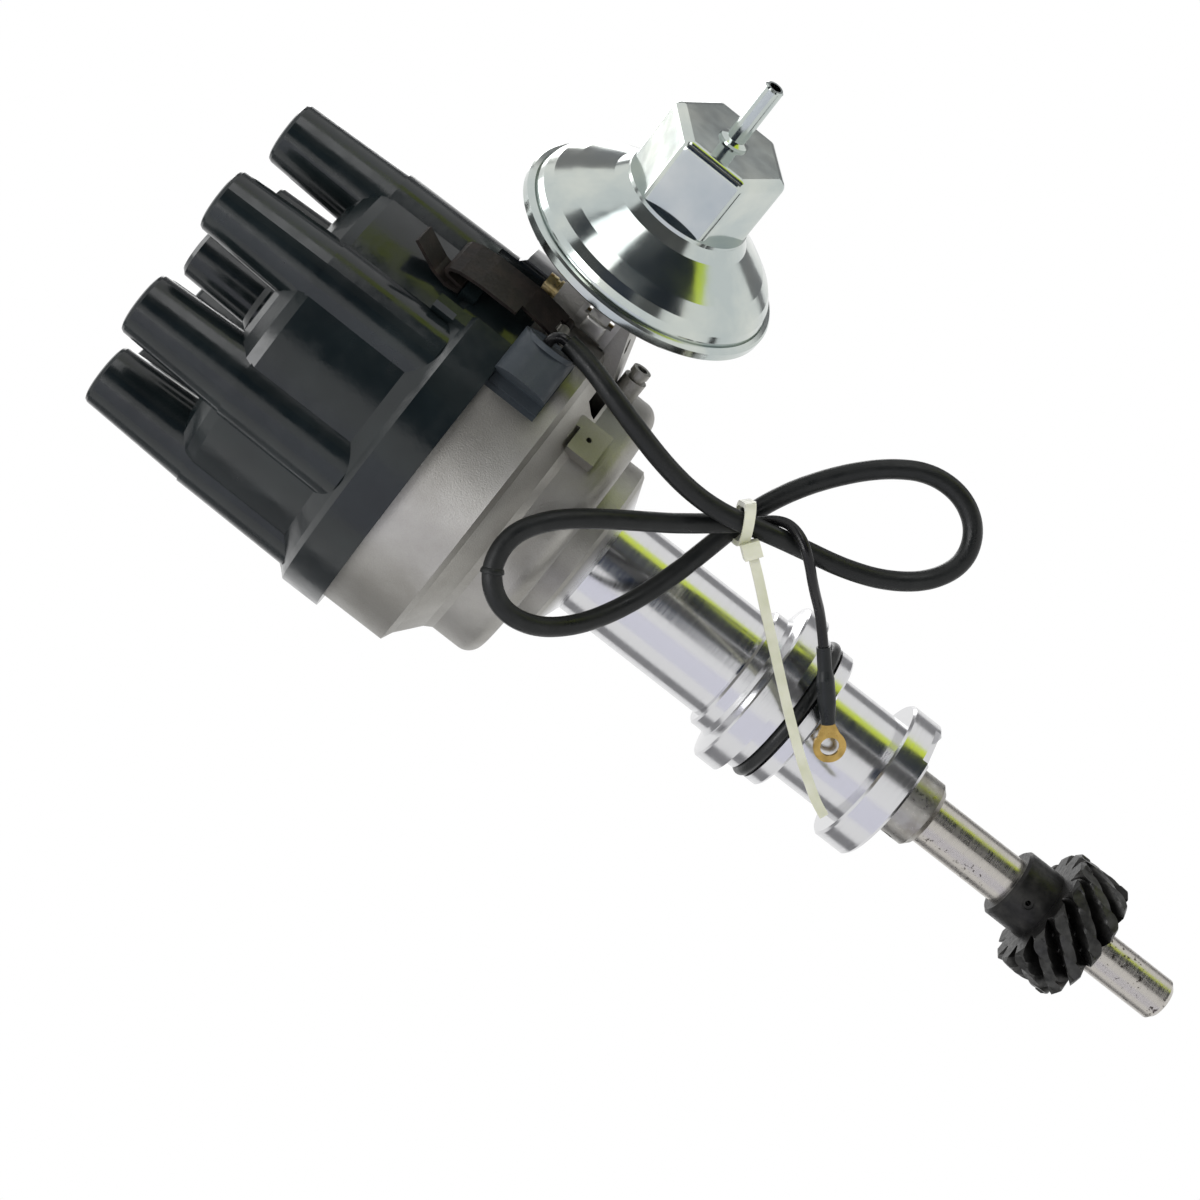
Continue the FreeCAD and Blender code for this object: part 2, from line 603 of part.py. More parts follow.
def spring_clip(azimuth):
    """A strap of spring steel with an eye at its foot, a hook over the cap's catch and a finger tab."""
    strap_line = [
        (CLIP_PIVOT_R + 1.3, CLIP_PIVOT_Z + 0.9), (CLIP_PIVOT_R + 2.0, CLIP_PIVOT_Z + 4.0),
        (CLIP_PIVOT_R + 2.8, CLIP_PIVOT_Z + 10.5), (CLIP_PIVOT_R + 2.7, CATCH_TOP - 2.6),
        (CLIP_PIVOT_R + 2.1, CATCH_TOP + 2.6), (CLIP_PIVOT_R + 1.1, CATCH_TOP + 5.0),
        (CLIP_PIVOT_R + 0.1, CATCH_TOP + 5.6), (CLIP_PIVOT_R - 0.9, CATCH_TOP + 4.8),
        (CLIP_PIVOT_R - 1.4, CATCH_TOP + 0.8), (CLIP_PIVOT_R - 2.2, CATCH_TOP + 0.8),
    ]
    tab_line = [
        strap_line[-2], (CLIP_PIVOT_R - 2.3, CATCH_TOP + 0.8), (CLIP_PIVOT_R - 2.8, CATCH_TOP + 4.0),
        (CLIP_PIVOT_R - 1.6, CATCH_TOP + 8.0), (CLIP_PIVOT_R + 2.6, CATCH_TOP + 15.0),
    ]
    strap = strip(strap_line, CLIP_T, -CLIP_HALF, CLIP_HALF)
    low_corner = block(CLIP_PIVOT_R - 6, CLIP_PIVOT_R + 8, -CLIP_HALF - THROUGH, CLIP_LOW_LEFT,
                       CLIP_PIVOT_Z - 4, CLIP_PIVOT_Z + 11.0)
    tab = strip(tab_line, CLIP_T, *TAB_SIDE)
    eye = Part.makeCylinder(CLIP_EYE_R, CLIP_HALF - CLIP_LOW_LEFT,
                            vector(CLIP_PIVOT_R, CLIP_LOW_LEFT, CLIP_PIVOT_Z), vector(0, 1, 0))
    hole = Part.makeCylinder(CLIP_PIN_R + RUNNING, PIN_REACH,
                             vector(CLIP_PIVOT_R, -PIN_REACH / 2, CLIP_PIVOT_Z), vector(0, 1, 0))
    room = block(CLIP_PIVOT_R - 6, CLIP_PIVOT_R + 3.4, KNUCKLE[0] - SLIDING / 2, KNUCKLE[1] + SLIDING / 2,
                 CLIP_PIVOT_Z - 4, CLIP_PIVOT_Z + CLIP_EYE_R + GAP)
    clip = joined([strap.cut(low_corner), tab, eye]).cut([hole, room])
    return spun(clip, azimuth)


def clip_pins():
    pin = Part.makeCylinder(CLIP_PIN_R, CLIP_HALF - CLIP_LOW_LEFT,
                            vector(CLIP_PIVOT_R, CLIP_LOW_LEFT, CLIP_PIVOT_Z), vector(0, 1, 0))
    return Part.makeCompound([spun(pin, az) for az in clip_directions()])


def bush(bottom, top):
    return ring(BUSH_R, SHAFT_R + RUNNING, bottom, top)


def o_ring():
    middle = PILOT_R - GROOVE_DEPTH + O_RING_R + 0.05
    return Part.makeTorus(middle, O_RING_R, vector(0, 0, GROOVE_TOP - GROOVE_WIDTH / 2))


def shaft():
    """The ground shaft: stepped down for the cam sleeve above, and below the gear to the drive socket."""
    body = turned([
        (0, SHAFT_BOTTOM), (SHAFT_TIP_R - SHAFT_CHAMFER, SHAFT_BOTTOM),
        (SHAFT_TIP_R, SHAFT_BOTTOM + SHAFT_CHAMFER), (SHAFT_TIP_R, GEAR_BOTTOM),
        (SHAFT_R, GEAR_BOTTOM), (SHAFT_R, CAM_PLATE_Z - END_PLAY), (SHAFT_NECK_R, CAM_PLATE_Z - END_PLAY),
        (SHAFT_NECK_R, SHAFT_TOP), (0, SHAFT_TOP),
    ])
    socket = hexagon(HEX_SOCKET_FLATS, SHAFT_BOTTOM - THROUGH, SHAFT_BOTTOM + HEX_SOCKET_DEPTH)
    pins = [
        cross_pin(ROLL_PIN_R, PIN_REACH, HUB_TOP - HUB_HEIGHT / 2, GEAR_PIN_AZ),
        cross_pin(ROLL_PIN_R, PIN_REACH, COLLAR_TOP - COLLAR_LENGTH / 2, COLLAR_PIN_AZ),
    ]
    return body.cut([socket] + pins)


def thrust_collar():
    bottom = COLLAR_TOP - COLLAR_LENGTH
    body = turned([
        (SHAFT_R, bottom), (COLLAR_R - COLLAR_CHAMFER, bottom), (COLLAR_R, bottom + COLLAR_CHAMFER),
        (COLLAR_R, COLLAR_TOP), (SHAFT_R, COLLAR_TOP),
    ])
    return body.cut(cross_pin(ROLL_PIN_R, PIN_REACH, COLLAR_TOP - COLLAR_LENGTH / 2, COLLAR_PIN_AZ))


def roll_pin(length, z, azimuth):
    pin = cross_pin(ROLL_PIN_R, length, z, azimuth)
    return pin.cut(cross_pin(ROLL_PIN_R * 0.45, length + 2, z, azimuth))


def drive_gear():
    """The helical gear with its pinned hub. Each tooth rises to the right on the near side."""
    pitch = 2 * math.pi / GEAR_TEETH
    outline = []
    for tooth in range(GEAR_TEETH):
        start = tooth * pitch
        for share, radius in GEAR_PROFILE:
            angle = start + share * pitch
            outline.append(vector(radius * math.cos(angle), radius * math.sin(angle), GEAR_BOTTOM))
    section = Part.makePolygon(outline + outline[:1])
    sections = []
    for step in range(GEAR_SECTIONS + 1):
        wire = section.copy()
        wire.rotate(vector(0, 0, 0), vector(0, 0, 1), GEAR_TWIST * step / GEAR_SECTIONS)
        wire.translate(vector(0, 0, GEAR_HEIGHT * step / GEAR_SECTIONS))
        sections.append(wire)
    teeth = Part.makeLoft(sections, True, False)
    blank = turned([
        (0, GEAR_BOTTOM), (GEAR_TIP_R - GEAR_BEVEL, GEAR_BOTTOM),
        (GEAR_TIP_R + 0.2, GEAR_BOTTOM + GEAR_BEVEL), (GEAR_TIP_R + 0.2, GEAR_TOP - GEAR_BEVEL),
        (GEAR_TIP_R - GEAR_BEVEL, GEAR_TOP), (0, GEAR_TOP),
    ])
    hub = turned([
        (0, GEAR_TOP - THROUGH), (HUB_R, GEAR_TOP - THROUGH), (HUB_R, HUB_TOP - 0.8),
        (HUB_R - 0.8, HUB_TOP), (0, HUB_TOP),
    ])
    gear = teeth.common(blank).fuse(hub)
    bore = [cylinder(SHAFT_R, GEAR_BOTTOM - THROUGH, HUB_TOP + THROUGH),
            cross_pin(ROLL_PIN_R, PIN_REACH, HUB_TOP - HUB_HEIGHT / 2, GEAR_PIN_AZ)]
    return gear.cut(bore)


def weight_directions():
    return (0, 180)


def weight_plate():
    """The plate on the shaft that carries the two weights, with its spring posts."""
    plate = cylinder(WEIGHT_PLATE_R, WEIGHT_PLATE_Z, PLATE_TOP)
    posts = []
    holes = [cylinder(SHAFT_R, WEIGHT_PLATE_Z - THROUGH, PLATE_TOP + THROUGH)]
    for azimuth in weight_directions():
        post = polar(SPRING_POST_RADIUS, azimuth + SPRING_POST_AZ)
        posts.append(cylinder(SPRING_POST_R, WEIGHT_PLATE_Z, SPRING_Z + SPRING_COIL_R, post.x, post.y))
        pivot = polar(PIVOT_RADIUS, azimuth)
        holes.append(cylinder(PIVOT_R, WEIGHT_PLATE_Z - THROUGH, PLATE_TOP + THROUGH, pivot.x, pivot.y))
    return joined([plate] + posts).cut(holes)


def weight_pivots():
    pins = []
    for azimuth in weight_directions():
        spot = polar(PIVOT_RADIUS, azimuth)
        pin = cylinder(PIVOT_R, WEIGHT_PLATE_Z, WEIGHT_TOP + 0.2, spot.x, spot.y)
        pins.append(pin)
    return Part.makeCompound(pins)


def weight(azimuth):
    """A curved fly weight, hung on its pivot, with the pin that drives the cam plate."""
    sweep = ring(WEIGHT_OUTER_R, WEIGHT_INNER_R, WEIGHT_Z, WEIGHT_TOP)
    first, last = math.radians(13.0), math.radians(DRIVE_AZ - 12.0)
    steps = 6
    reach = WEIGHT_OUTER_R * 1.6
    plan = [(0, 0)]
    for step in range(steps + 1):
        angle = first + (last - first) * step / steps
        plan.append((reach * math.cos(angle), reach * math.sin(angle)))
    body = sweep.common(prism(plan, WEIGHT_Z - THROUGH, WEIGHT_TOP + THROUGH))
    pivot = polar(PIVOT_RADIUS, 0)
    drive = polar(DRIVE_RADIUS, DRIVE_AZ)
    body = body.cut(cylinder(PIVOT_R + RUNNING, WEIGHT_Z - THROUGH, WEIGHT_TOP + THROUGH, pivot.x, pivot.y))
    pin = cylinder(DRIVE_PIN_R, WEIGHT_TOP - THROUGH, CAM_PLATE_TOP + 0.8, drive.x, drive.y)
    return spun(joined([body, pin]), azimuth)


def cam_sleeve():
    """The sleeve that turns a little on the shaft: slotted plate, eight-lobed cam and rotor seat."""
    plate = cylinder(CAM_PLATE_R, CAM_PLATE_Z, CAM_PLATE_TOP)
    waist = block(-CAM_PLATE_R, CAM_PLATE_R, -CAM_PLATE_HALF, CAM_PLATE_HALF,
                  CAM_PLATE_Z - THROUGH, CAM_PLATE_TOP + THROUGH)
    plate = plate.common(spun(waist, DRIVE_AZ + 180))
    lobes = cylinder(CAM_R, CAM_BOTTOM, CAM_TOP)
    flat = block(-CAM_FLATS / 2, CAM_FLATS / 2, -CAM_R * 2, CAM_R * 2, CAM_BOTTOM - THROUGH,
                 CAM_TOP + THROUGH)
    for quarter in range(TOWERS // 2):
        lobes = lobes.common(spun(flat, quarter * 360 / TOWERS))
    seat = cylinder(ROTOR_SEAT_R, CAM_TOP, ROTOR_SEAT_TOP)
    key = block(ROTOR_SEAT_R - KEY_DEPTH, ROTOR_SEAT_R + THROUGH, -KEY_HALF, KEY_HALF,
                ROTOR_BOTTOM, ROTOR_SEAT_TOP + THROUGH)
    bore = cylinder(SHAFT_NECK_R + RUNNING, CAM_PLATE_Z - THROUGH, ROTOR_SEAT_TOP + THROUGH)
    recess = cylinder(RETAINER_R + GAP, SHAFT_TOP - END_PLAY, ROTOR_SEAT_TOP + THROUGH)
    pegs = []
    tools = [bore, recess, spun(key, ROTOR_AZ)]
    for azimuth in weight_directions():
        tools.append(spun(drive_slot(), azimuth + DRIVE_AZ))
        peg = polar(SPRING_PEG_RADIUS, azimuth + SPRING_PEG_AZ)
        pegs.append(cylinder(SPRING_PEG_R, CAM_PLATE_Z, SPRING_Z + SPRING_COIL_R, peg.x, peg.y))
    return joined([plate, cylinder(SLEEVE_R, CAM_PLATE_Z, CAM_BOTTOM), lobes, seat] + pegs).cut(tools)


def drive_slot():
    """The slot that a weight's pin slides out in as the weights swing."""
    half = DRIVE_PIN_R + SLIDING
    low, high = CAM_PLATE_Z - THROUGH, CAM_PLATE_TOP + THROUGH
    first = DRIVE_RADIUS - SLIDING
    last = first + DRIVE_TRAVEL
    slot = block(first, last, -half, half, low, high)
    return joined([slot, cylinder(half, low, high, first, 0), cylinder(half, low, high, last, 0)])


def sleeve_retainer():
    """The ring at the shaft's top that holds the cam sleeve down."""
    return ring(RETAINER_R, WICK_R, SHAFT_TOP, SHAFT_TOP + RETAINER_T)


def felt_wick():
    return cylinder(WICK_R, SHAFT_TOP, ROTOR_SEAT_TOP - RETAINER_T)


def advance_springs():
    """Two light coil springs from the weight plate's posts to the pegs of the cam plate."""
    coils = []
    for azimuth in weight_directions():
        post = polar(SPRING_POST_RADIUS, azimuth + SPRING_POST_AZ, SPRING_Z)
        peg = polar(SPRING_PEG_RADIUS, azimuth + SPRING_PEG_AZ, SPRING_Z)
        run = peg - post
        way = (peg - post).normalize()
        length = run.Length - SPRING_POST_R - SPRING_PEG_R - 2 * RUNNING
        coils.append(Part.makeCylinder(SPRING_COIL_R, length, post + way * (SPRING_POST_R + RUNNING), way))
    return Part.makeCompound(coils)


def base_plate():
    """The fixed plate on the ledge, with the raised ring that the breaker plate turns on."""
    plate = cylinder(BASE_PLATE_R, LEDGE_Z, BASE_PLATE_TOP)
    hub = cylinder(HUB_RING_R, LEDGE_Z, BREAKER_TOP + GAP)
    tools = [cylinder(HUB_RING_R - HUB_RING_T, LEDGE_Z - THROUGH, BREAKER_TOP + THROUGH)]
    for spot in plate_screw_spots():
        tools.append(cylinder(PLATE_SCREW_R, LEDGE_Z - THROUGH, BASE_PLATE_TOP + THROUGH, spot.x, spot.y))
    return joined([plate, hub]).cut(tools)


def plate_screw_spots():
    return [polar(BREAKER_PLATE_R + GAP + PLATE_SCREW_HEAD_R, az) for az in PLATE_SCREW_AZ]


def plate_screws():
    """Two pan-head screws that clamp the base plate to the ledge."""
    screws = []
    for spot in plate_screw_spots():
        shank = cylinder(PLATE_SCREW_R, LEDGE_Z - PLATE_SCREW_DEPTH, BASE_PLATE_TOP, spot.x, spot.y)
        head = cylinder(PLATE_SCREW_HEAD_R, BASE_PLATE_TOP, BASE_PLATE_TOP + PLATE_SCREW_HEAD_T, spot.x,
                        spot.y)
        screws.append(joined([shank, head]))
    return Part.makeCompound(screws)


def rod_pin_spot():
    """Foot of the vacuum rod's axis, where its pin stands at mid travel."""
    return polar(ROD_OFFSET, VACUUM_AZ + 90 + MID_SWING)


def breaker_plate():
    """The plate that the vacuum rod turns, carrying the contacts."""
    plate = ring(BREAKER_PLATE_R, HUB_RING_R + RUNNING, BREAKER_Z, BREAKER_TOP)
    spot = rod_pin_spot()
    pin = cylinder(ROD_PIN_R, BREAKER_Z, ROD_TOP + ROD_T, spot.x, spot.y)
    boss = cylinder(2 * ROD_PIN_R, BREAKER_Z, ROD_BOTTOM - GAP, spot.x, spot.y)
    pivot = contact_spot(ARM_PIVOT)
    post_hole = cylinder(ARM_PIVOT_R, BREAKER_Z - THROUGH, BREAKER_TOP + THROUGH, pivot.x, pivot.y)
    return joined([plate, pin, boss]).cut(post_hole)


def contact_spot(place):
    reach = math.hypot(*place)
    return polar(reach, CONTACT_AZ + math.degrees(math.atan2(place[1], place[0])))


def pivot_post():
    """The riveted post of the breaker arm, with a shoulder under the arm and a ring over it."""
    spot = contact_spot(ARM_PIVOT)
    arm_top = ARM_Z + ARM_T
    post = cylinder(ARM_PIVOT_R, BREAKER_Z, arm_top + GAP + 1.0, spot.x, spot.y)
    shoulder = cylinder(ARM_PIVOT_R + 1.0, BREAKER_TOP, ARM_Z - END_PLAY, spot.x, spot.y)
    head = cylinder(ARM_PIVOT_R + 0.8, arm_top + GAP, arm_top + GAP + 0.8, spot.x, spot.y)
    return joined([post, shoulder, head])


def contact_support():
    """The fixed contact on its folded bracket, screwed to the breaker plate."""
    face_x = ARM_LINE - CONTACT_T - CONTACT_GAP
    back_x = face_x - CONTACT_BACK
    inner_x = back_x - ARM_SHEET
    top = BREAKER_TOP + ARM_SHEET
    near_upright = [(inner_x, ARM_END), (inner_x, CONTACT_UPRIGHT_Y), (CONTACT_FOOT[0][0], CONTACT_UPRIGHT_Y)]
    foot = prism(list(CONTACT_FOOT) + near_upright, BREAKER_TOP, top)
    pivot_room = cylinder(ARM_PIVOT_R + 1.0 + GAP, BREAKER_TOP - THROUGH, top + THROUGH, *ARM_PIVOT)
    upright = block(inner_x, back_x, CONTACT_UPRIGHT_Y, ARM_END, BREAKER_TOP, ARM_Z + ARM_T)
    contact = Part.makeCylinder(CONTACT_R, face_x - back_x, vector(back_x, CONTACT_Y, ARM_Z + ARM_T / 2),
                                vector(1, 0, 0))
    screws = [cylinder(CONTACT_SCREW_R, top, top + CONTACT_SCREW_T, *spot) for spot in CONTACT_SCREWS]
    support = joined([foot.cut(pivot_room), upright, contact] + screws)
    return spun(support, CONTACT_AZ)


def breaker_arm():
    """The rocking arm: folded steel, fibre bush and rubbing block, and the moving contact."""
    x, y = ARM_PIVOT
    eye = cylinder(2 * ARM_PIVOT_R, ARM_Z, ARM_Z + ARM_T, x, y)
    arm = prism([(x - 2.6, y - 1.2), (x + 0.6, y + 2.8), (ARM_LINE + ARM_SHEET, 0.0),
                 (ARM_LINE + ARM_SHEET, ARM_END), (ARM_LINE, ARM_END), (ARM_LINE, -3.0), (x - 4.0, y + 0.6)],
                ARM_Z, ARM_Z + ARM_T)
    block_tip = CAM_R + SLIDING
    rubbing = prism([(ARM_LINE + 0.4, -3.2), (ARM_LINE + 0.4, 1.4), (block_tip, 0.4), (block_tip, -1.0)],
                    ARM_Z + 0.6, ARM_Z + ARM_T - 0.6)
    contact = Part.makeCylinder(CONTACT_R, CONTACT_T + ARM_SHEET / 2,
                                vector(ARM_LINE - CONTACT_T, CONTACT_Y, ARM_Z + ARM_T / 2), vector(1, 0, 0))
    hole = cylinder(ARM_PIVOT_R + RUNNING, ARM_Z - THROUGH, ARM_Z + ARM_T + THROUGH, x, y)
    return spun(joined([eye, arm, rubbing, contact]).cut(hole), CONTACT_AZ)


def condenser():
    """The condenser can, held down on the breaker plate by its band."""
    axis_z = BREAKER_TOP + CONDENSER_R + CONDENSER_BAND

    def lying(radius, half, start):
        return Part.makeCylinder(radius, 2 * half, vector(CONDENSER_X, start, axis_z), vector(0, 1, 0))
    half = CONDENSER_BAND_HALF
    can = lying(CONDENSER_R, CONDENSER_HALF, -CONDENSER_HALF)
    lid = lying(CONDENSER_R - CONDENSER_BAND, CONDENSER_BAND, CONDENSER_HALF)
    band = lying(CONDENSER_R + CONDENSER_BAND, half, -half)
    foot = block(CONDENSER_X - CONDENSER_FOOT, CONDENSER_X + CONDENSER_R, -half, half, BREAKER_TOP,
                 BREAKER_TOP + ARM_SHEET)
    return spun(joined([can, lid, band, foot]), CONDENSER_AZ)


def rotor():
    """The moulded rotor: a skirt on the cam's seat and an arm under the brass blade."""
    skirt = turned([
        (0, ROTOR_BOTTOM), (ROTOR_R - 0.8, ROTOR_BOTTOM), (ROTOR_R, ROTOR_BOTTOM + 0.8),
        (ROTOR_R - 1.0, ROTOR_DECK - 1.0), (ROTOR_R - 2.0, ROTOR_DECK), (0, ROTOR_DECK),
    ])
    arm = prism([(0, -8.0), (ROTOR_ARM_R, -4.6), (ROTOR_ARM_R, 4.6), (0, 8.0)], ROTOR_DECK - 5.2, ROTOR_DECK)
    rib = block(6.0, ROTOR_ARM_R - 2.0, -1.4, 1.4, ROTOR_BOTTOM + 4.0, ROTOR_DECK - 4.0)
    tail = prism([(0, -7.0), (-16.5, -4.0), (-16.5, 4.0), (0, 7.0)], ROTOR_DECK - 4.0, ROTOR_DECK)
    socket = cylinder(ROTOR_SEAT_R + RUNNING, ROTOR_BOTTOM - THROUGH, ROTOR_SEAT_TOP)
    flat = block(ROTOR_SEAT_R - KEY_DEPTH + RUNNING, ROTOR_SEAT_R + KEY_DEPTH, RUNNING - KEY_HALF,
                 KEY_HALF - RUNNING, ROTOR_BOTTOM, ROTOR_SEAT_TOP)
    body = joined([skirt, arm, rib, tail]).cut(socket)
    return spun(joined([body, flat]), ROTOR_AZ)


def rotor_blade():
    """The brass tip that passes the cap's terminals, with the leaf that presses on the carbon."""
    blade = prism([(-4.0, -2.4), (12.0, -2.4), (24.0, -3.0), (ROTOR_TIP_R - 1.0, -4.2), (ROTOR_TIP_R, -2.4),
                   (ROTOR_TIP_R, 2.4), (ROTOR_TIP_R - 1.0, 4.2), (24.0, 3.0), (12.0, 2.4), (-4.0, 2.4)],
                  ROTOR_DECK, ROTOR_DECK + ROTOR_TIP_T)
    leaf = strip([(14.0, ROTOR_DECK + ROTOR_TIP_T + 0.2), (8.0, ROTOR_DECK + ROTOR_TIP_T + 2.2),
                  (1.0, BRUSH_TIP - GAP - LEAF_T), (-2.2, BRUSH_TIP - GAP - LEAF_T)], LEAF_T, -2.2, 2.2)
    return spun(joined([blade, leaf]), ROTOR_AZ)


def cap():
    """The moulded cap: skirt, body, eight columns with their towers and the coil tower."""
    outer = turned([
        (0, WALL_TOP), (RIM_R, WALL_TOP), (RIM_R, RIM_TOP - 1.2), (RIM_R - 1.2, RIM_TOP),
        (RIM_R - 1.6, RIM_TOP + 0.4),
        (CAP_R, CAP_FOOT_Z), (CAP_R - 0.5, CAP_SHOULDER_Z), (CAP_R - 1.4, CAP_SHOULDER_Z + 2.8),
        (CAP_R - 4.2, DECK_Z - 2.2), (CAP_R - 7.6, DECK_Z - 0.6), (DECK_R, DECK_Z),
        (COIL_FOOT_R + 1.6, DECK_Z + DECK_CROWN), (0, DECK_Z + DECK_CROWN),
    ])
    column = cone(COLUMN_FOOT_R, COLUMN_TOP_R, CATCH_BOTTOM - 1.0, COLUMN_TOP, TOWER_RADIUS)
    tower = turned([
        (0, COLUMN_TOP), (TOWER_FOOT_R, COLUMN_TOP), (TOWER_TIP_R, TOWER_TOP - TOWER_EDGE),
        (TOWER_TIP_R - 0.35, TOWER_TOP - 0.35), (TOWER_TIP_R - TOWER_EDGE, TOWER_TOP), (0, TOWER_TOP),
    ])
    stack = column.fuse(moved(tower, TOWER_RADIUS, 0, 0))
    stack = stack.cut(cylinder(TOWER_RADIUS - COLUMN_FOOT_R - THROUGH, CATCH_BOTTOM - 2, DECK_Z - 2))
    coil = turned([
        (0, DECK_Z), (COIL_FOOT_R + 1.4, DECK_Z), (COIL_FOOT_R + 1.2, DECK_Z + DECK_CROWN + 1.0),
        (COIL_FOOT_R, DECK_Z + DECK_CROWN + 2.6), (COIL_TIP_R, COIL_TOP - TOWER_EDGE),
        (COIL_TIP_R - TOWER_EDGE, COIL_TOP), (0, COIL_TOP),
    ])
    stacks = [spun(stack, TOWER_AZ + tower_index * 360 / TOWERS) for tower_index in range(TOWERS)]
    body = outer.fuse(stacks + [coil])
    cavity = turned([
        (0, WALL_TOP - THROUGH), (WALL_BORE_R + SPIGOT_T + 0.15, WALL_TOP - THROUGH),
        (WALL_BORE_R + SPIGOT_T + 0.15, WALL_TOP + SPIGOT_HEIGHT + 0.4),
        (CAP_BORE_R, WALL_TOP + SPIGOT_HEIGHT + 2.4),
        (CAP_BORE_R, CAP_CEILING - 5.0), (CAP_BORE_R - 5.0, CAP_CEILING), (0, CAP_CEILING),
    ])
    clads = []
    for tower_index in range(TOWERS):
        spot = polar(TOWER_RADIUS, TOWER_AZ + tower_index * 360 / TOWERS)
        clads.append(cylinder(TERMINAL_R + TERMINAL_CLAD, TERMINAL_CLAD_BOTTOM, CAP_CEILING + THROUGH,
                              spot.x, spot.y))
    clads.append(cylinder(BRUSH_BOSS_R, BRUSH_BOSS_BOTTOM, CAP_CEILING + THROUGH))
    cavity = cavity.cut(clads)
    tools = [cavity]
    for azimuth in clip_directions():
        tools.append(spun(clip_pocket(), azimuth))
    for spot in (NEAR_SCREW, FAR_SCREW):
        room = cylinder(SCREW_HEAD_R + SCREW_ROOM, WALL_TOP - THROUGH, CAP_FOOT_Z + THROUGH, *spot)
        tools.append(vacuum_frame(room))
    for tower_index in range(TOWERS):
        spot = polar(TOWER_RADIUS, TOWER_AZ + tower_index * 360 / TOWERS)
        tools.append(cylinder(SOCKET_R, TOWER_TOP - SOCKET_DEPTH, TOWER_TOP + THROUGH, spot.x, spot.y))
        tools.append(cylinder(TERMINAL_R, TERMINAL_BOTTOM - THROUGH, TOWER_TOP - SOCKET_DEPTH + THROUGH,
                              spot.x, spot.y))
    tools.append(cylinder(SOCKET_R, COIL_TOP - SOCKET_DEPTH, COIL_TOP + THROUGH))
    tools.append(cylinder(BRUSH_R + 0.1, BRUSH_BOSS_BOTTOM - THROUGH, COIL_TOP - SOCKET_DEPTH + THROUGH))
    body = body.cut(tools)
    catches = [spun(clip_catch(), azimuth) for azimuth in clip_directions()]
    return joined([body] + catches)


def clip_pocket():
    """The gap in the skirt where a spring clip lies."""
    return wedge(POCKET_R, RIM_R + 4, POCKET_HALF_AZ, WALL_TOP - THROUGH, CAP_FOOT_Z)


def clip_catch():
    """The ledge that a clip's hook bears on, and the cheek beside it."""
    ledge = wedge(CAP_R - 1.5, CATCH_R, 8.4, CATCH_BOTTOM, CATCH_TOP)
    cheek = block(CAP_R - 2.0, CATCH_R + 0.6, -3.4, 0.0, RIM_TOP - 1.0, CATCH_TOP + 3.0)
    slope = prism([(CATCH_R - 1.2, -4), (CATCH_R + 4, -4), (CATCH_R + 4, 1)], RIM_TOP + 3.0, CATCH_TOP + 4)
    return joined([ledge, spun(cheek.cut(slope), -POCKET_HALF_AZ)])


def terminals():
    """The eight inserts, from the sockets down to the rotor's level."""
    pins = []
    for tower_index in range(TOWERS):
        spot = polar(TOWER_RADIUS, TOWER_AZ + tower_index * 360 / TOWERS)
        pins.append(cylinder(TERMINAL_R, TERMINAL_BOTTOM, TOWER_TOP - SOCKET_DEPTH, spot.x, spot.y))
    return Part.makeCompound(pins)


def coil_terminal():
    top = COIL_TOP - SOCKET_DEPTH
    return cylinder(BRUSH_R + 0.1, top - COIL_TERMINAL_LENGTH, top)


def brush_spring():
    top = COIL_TOP - SOCKET_DEPTH - COIL_TERMINAL_LENGTH
    return cylinder(BRUSH_R - 0.5, BRUSH_TIP + BRUSH_LENGTH, top)


def carbon_brush():
    return cylinder(BRUSH_R, BRUSH_TIP, BRUSH_TIP + BRUSH_LENGTH)


def grommet():
    """The moulded rubber block in the wall's notch, with a round nose that the lead leaves sideways."""
    plug = wedge(WALL_BORE_R, WALL_R, NOTCH_HALF_AZ, GROMMET_BOTTOM, GROMMET_TOP)
    lip = wedge(WALL_R - 0.1, WALL_R + 1.0, NOTCH_HALF_AZ - 1.6, GROMMET_BOTTOM + 0.2, GROMMET_TOP - 0.2)
    corners = [polar(radius, azimuth) for radius, azimuth in GROMMET_NOSE]
    inner = [(polar(WALL_R, GROMMET_NOSE[-1][1])), (polar(WALL_R, GROMMET_NOSE[0][1]))]
    outline = [(c.x, c.y) for c in corners + inner]
    nose = prism(outline, GROMMET_BOTTOM + 0.2, GROMMET_TOP + 0.6)
    nose = nose.makeFillet(GROMMET_ROUND, [e for e in nose.Edges if is_front_edge(e)])
    nose = nose.cut(cylinder(RIM_R + GAP, GROMMET_TOP, GROMMET_TOP + 5))
    body = spun(joined([plug, lip, nose]), GROMMET_AZ)
    start, direction = lead_exit()
    hole = Part.makeCylinder(WIRE_DIAMETER / 2 + WIRE_ROOM, LEAD_HOLE_DEPTH + THROUGH,
                             start - direction * LEAD_HOLE_DEPTH, direction)
    return body.cut(hole)


def is_front_edge(edge):
    """A level edge along the nose's outer face."""
    middle = edge.CenterOfMass
    return edge.BoundBox.ZLength < 0.01 and math.hypot(middle.x, middle.y) > WALL_R + 8.0


def lead_exit():
    """Centre of the hole in the grommet's side, and the way out of it."""
    a = polar(GROMMET_NOSE[2][0], GROMMET_NOSE[2][1] + GROMMET_AZ)
    b = polar(GROMMET_NOSE[3][0], GROMMET_NOSE[3][1] + GROMMET_AZ)
    side = (b - a).normalize()
    return (a + b) * 0.5 + vector(0, 0, LEAD_HOLE_Z), vector(side.y, -side.x, 0)


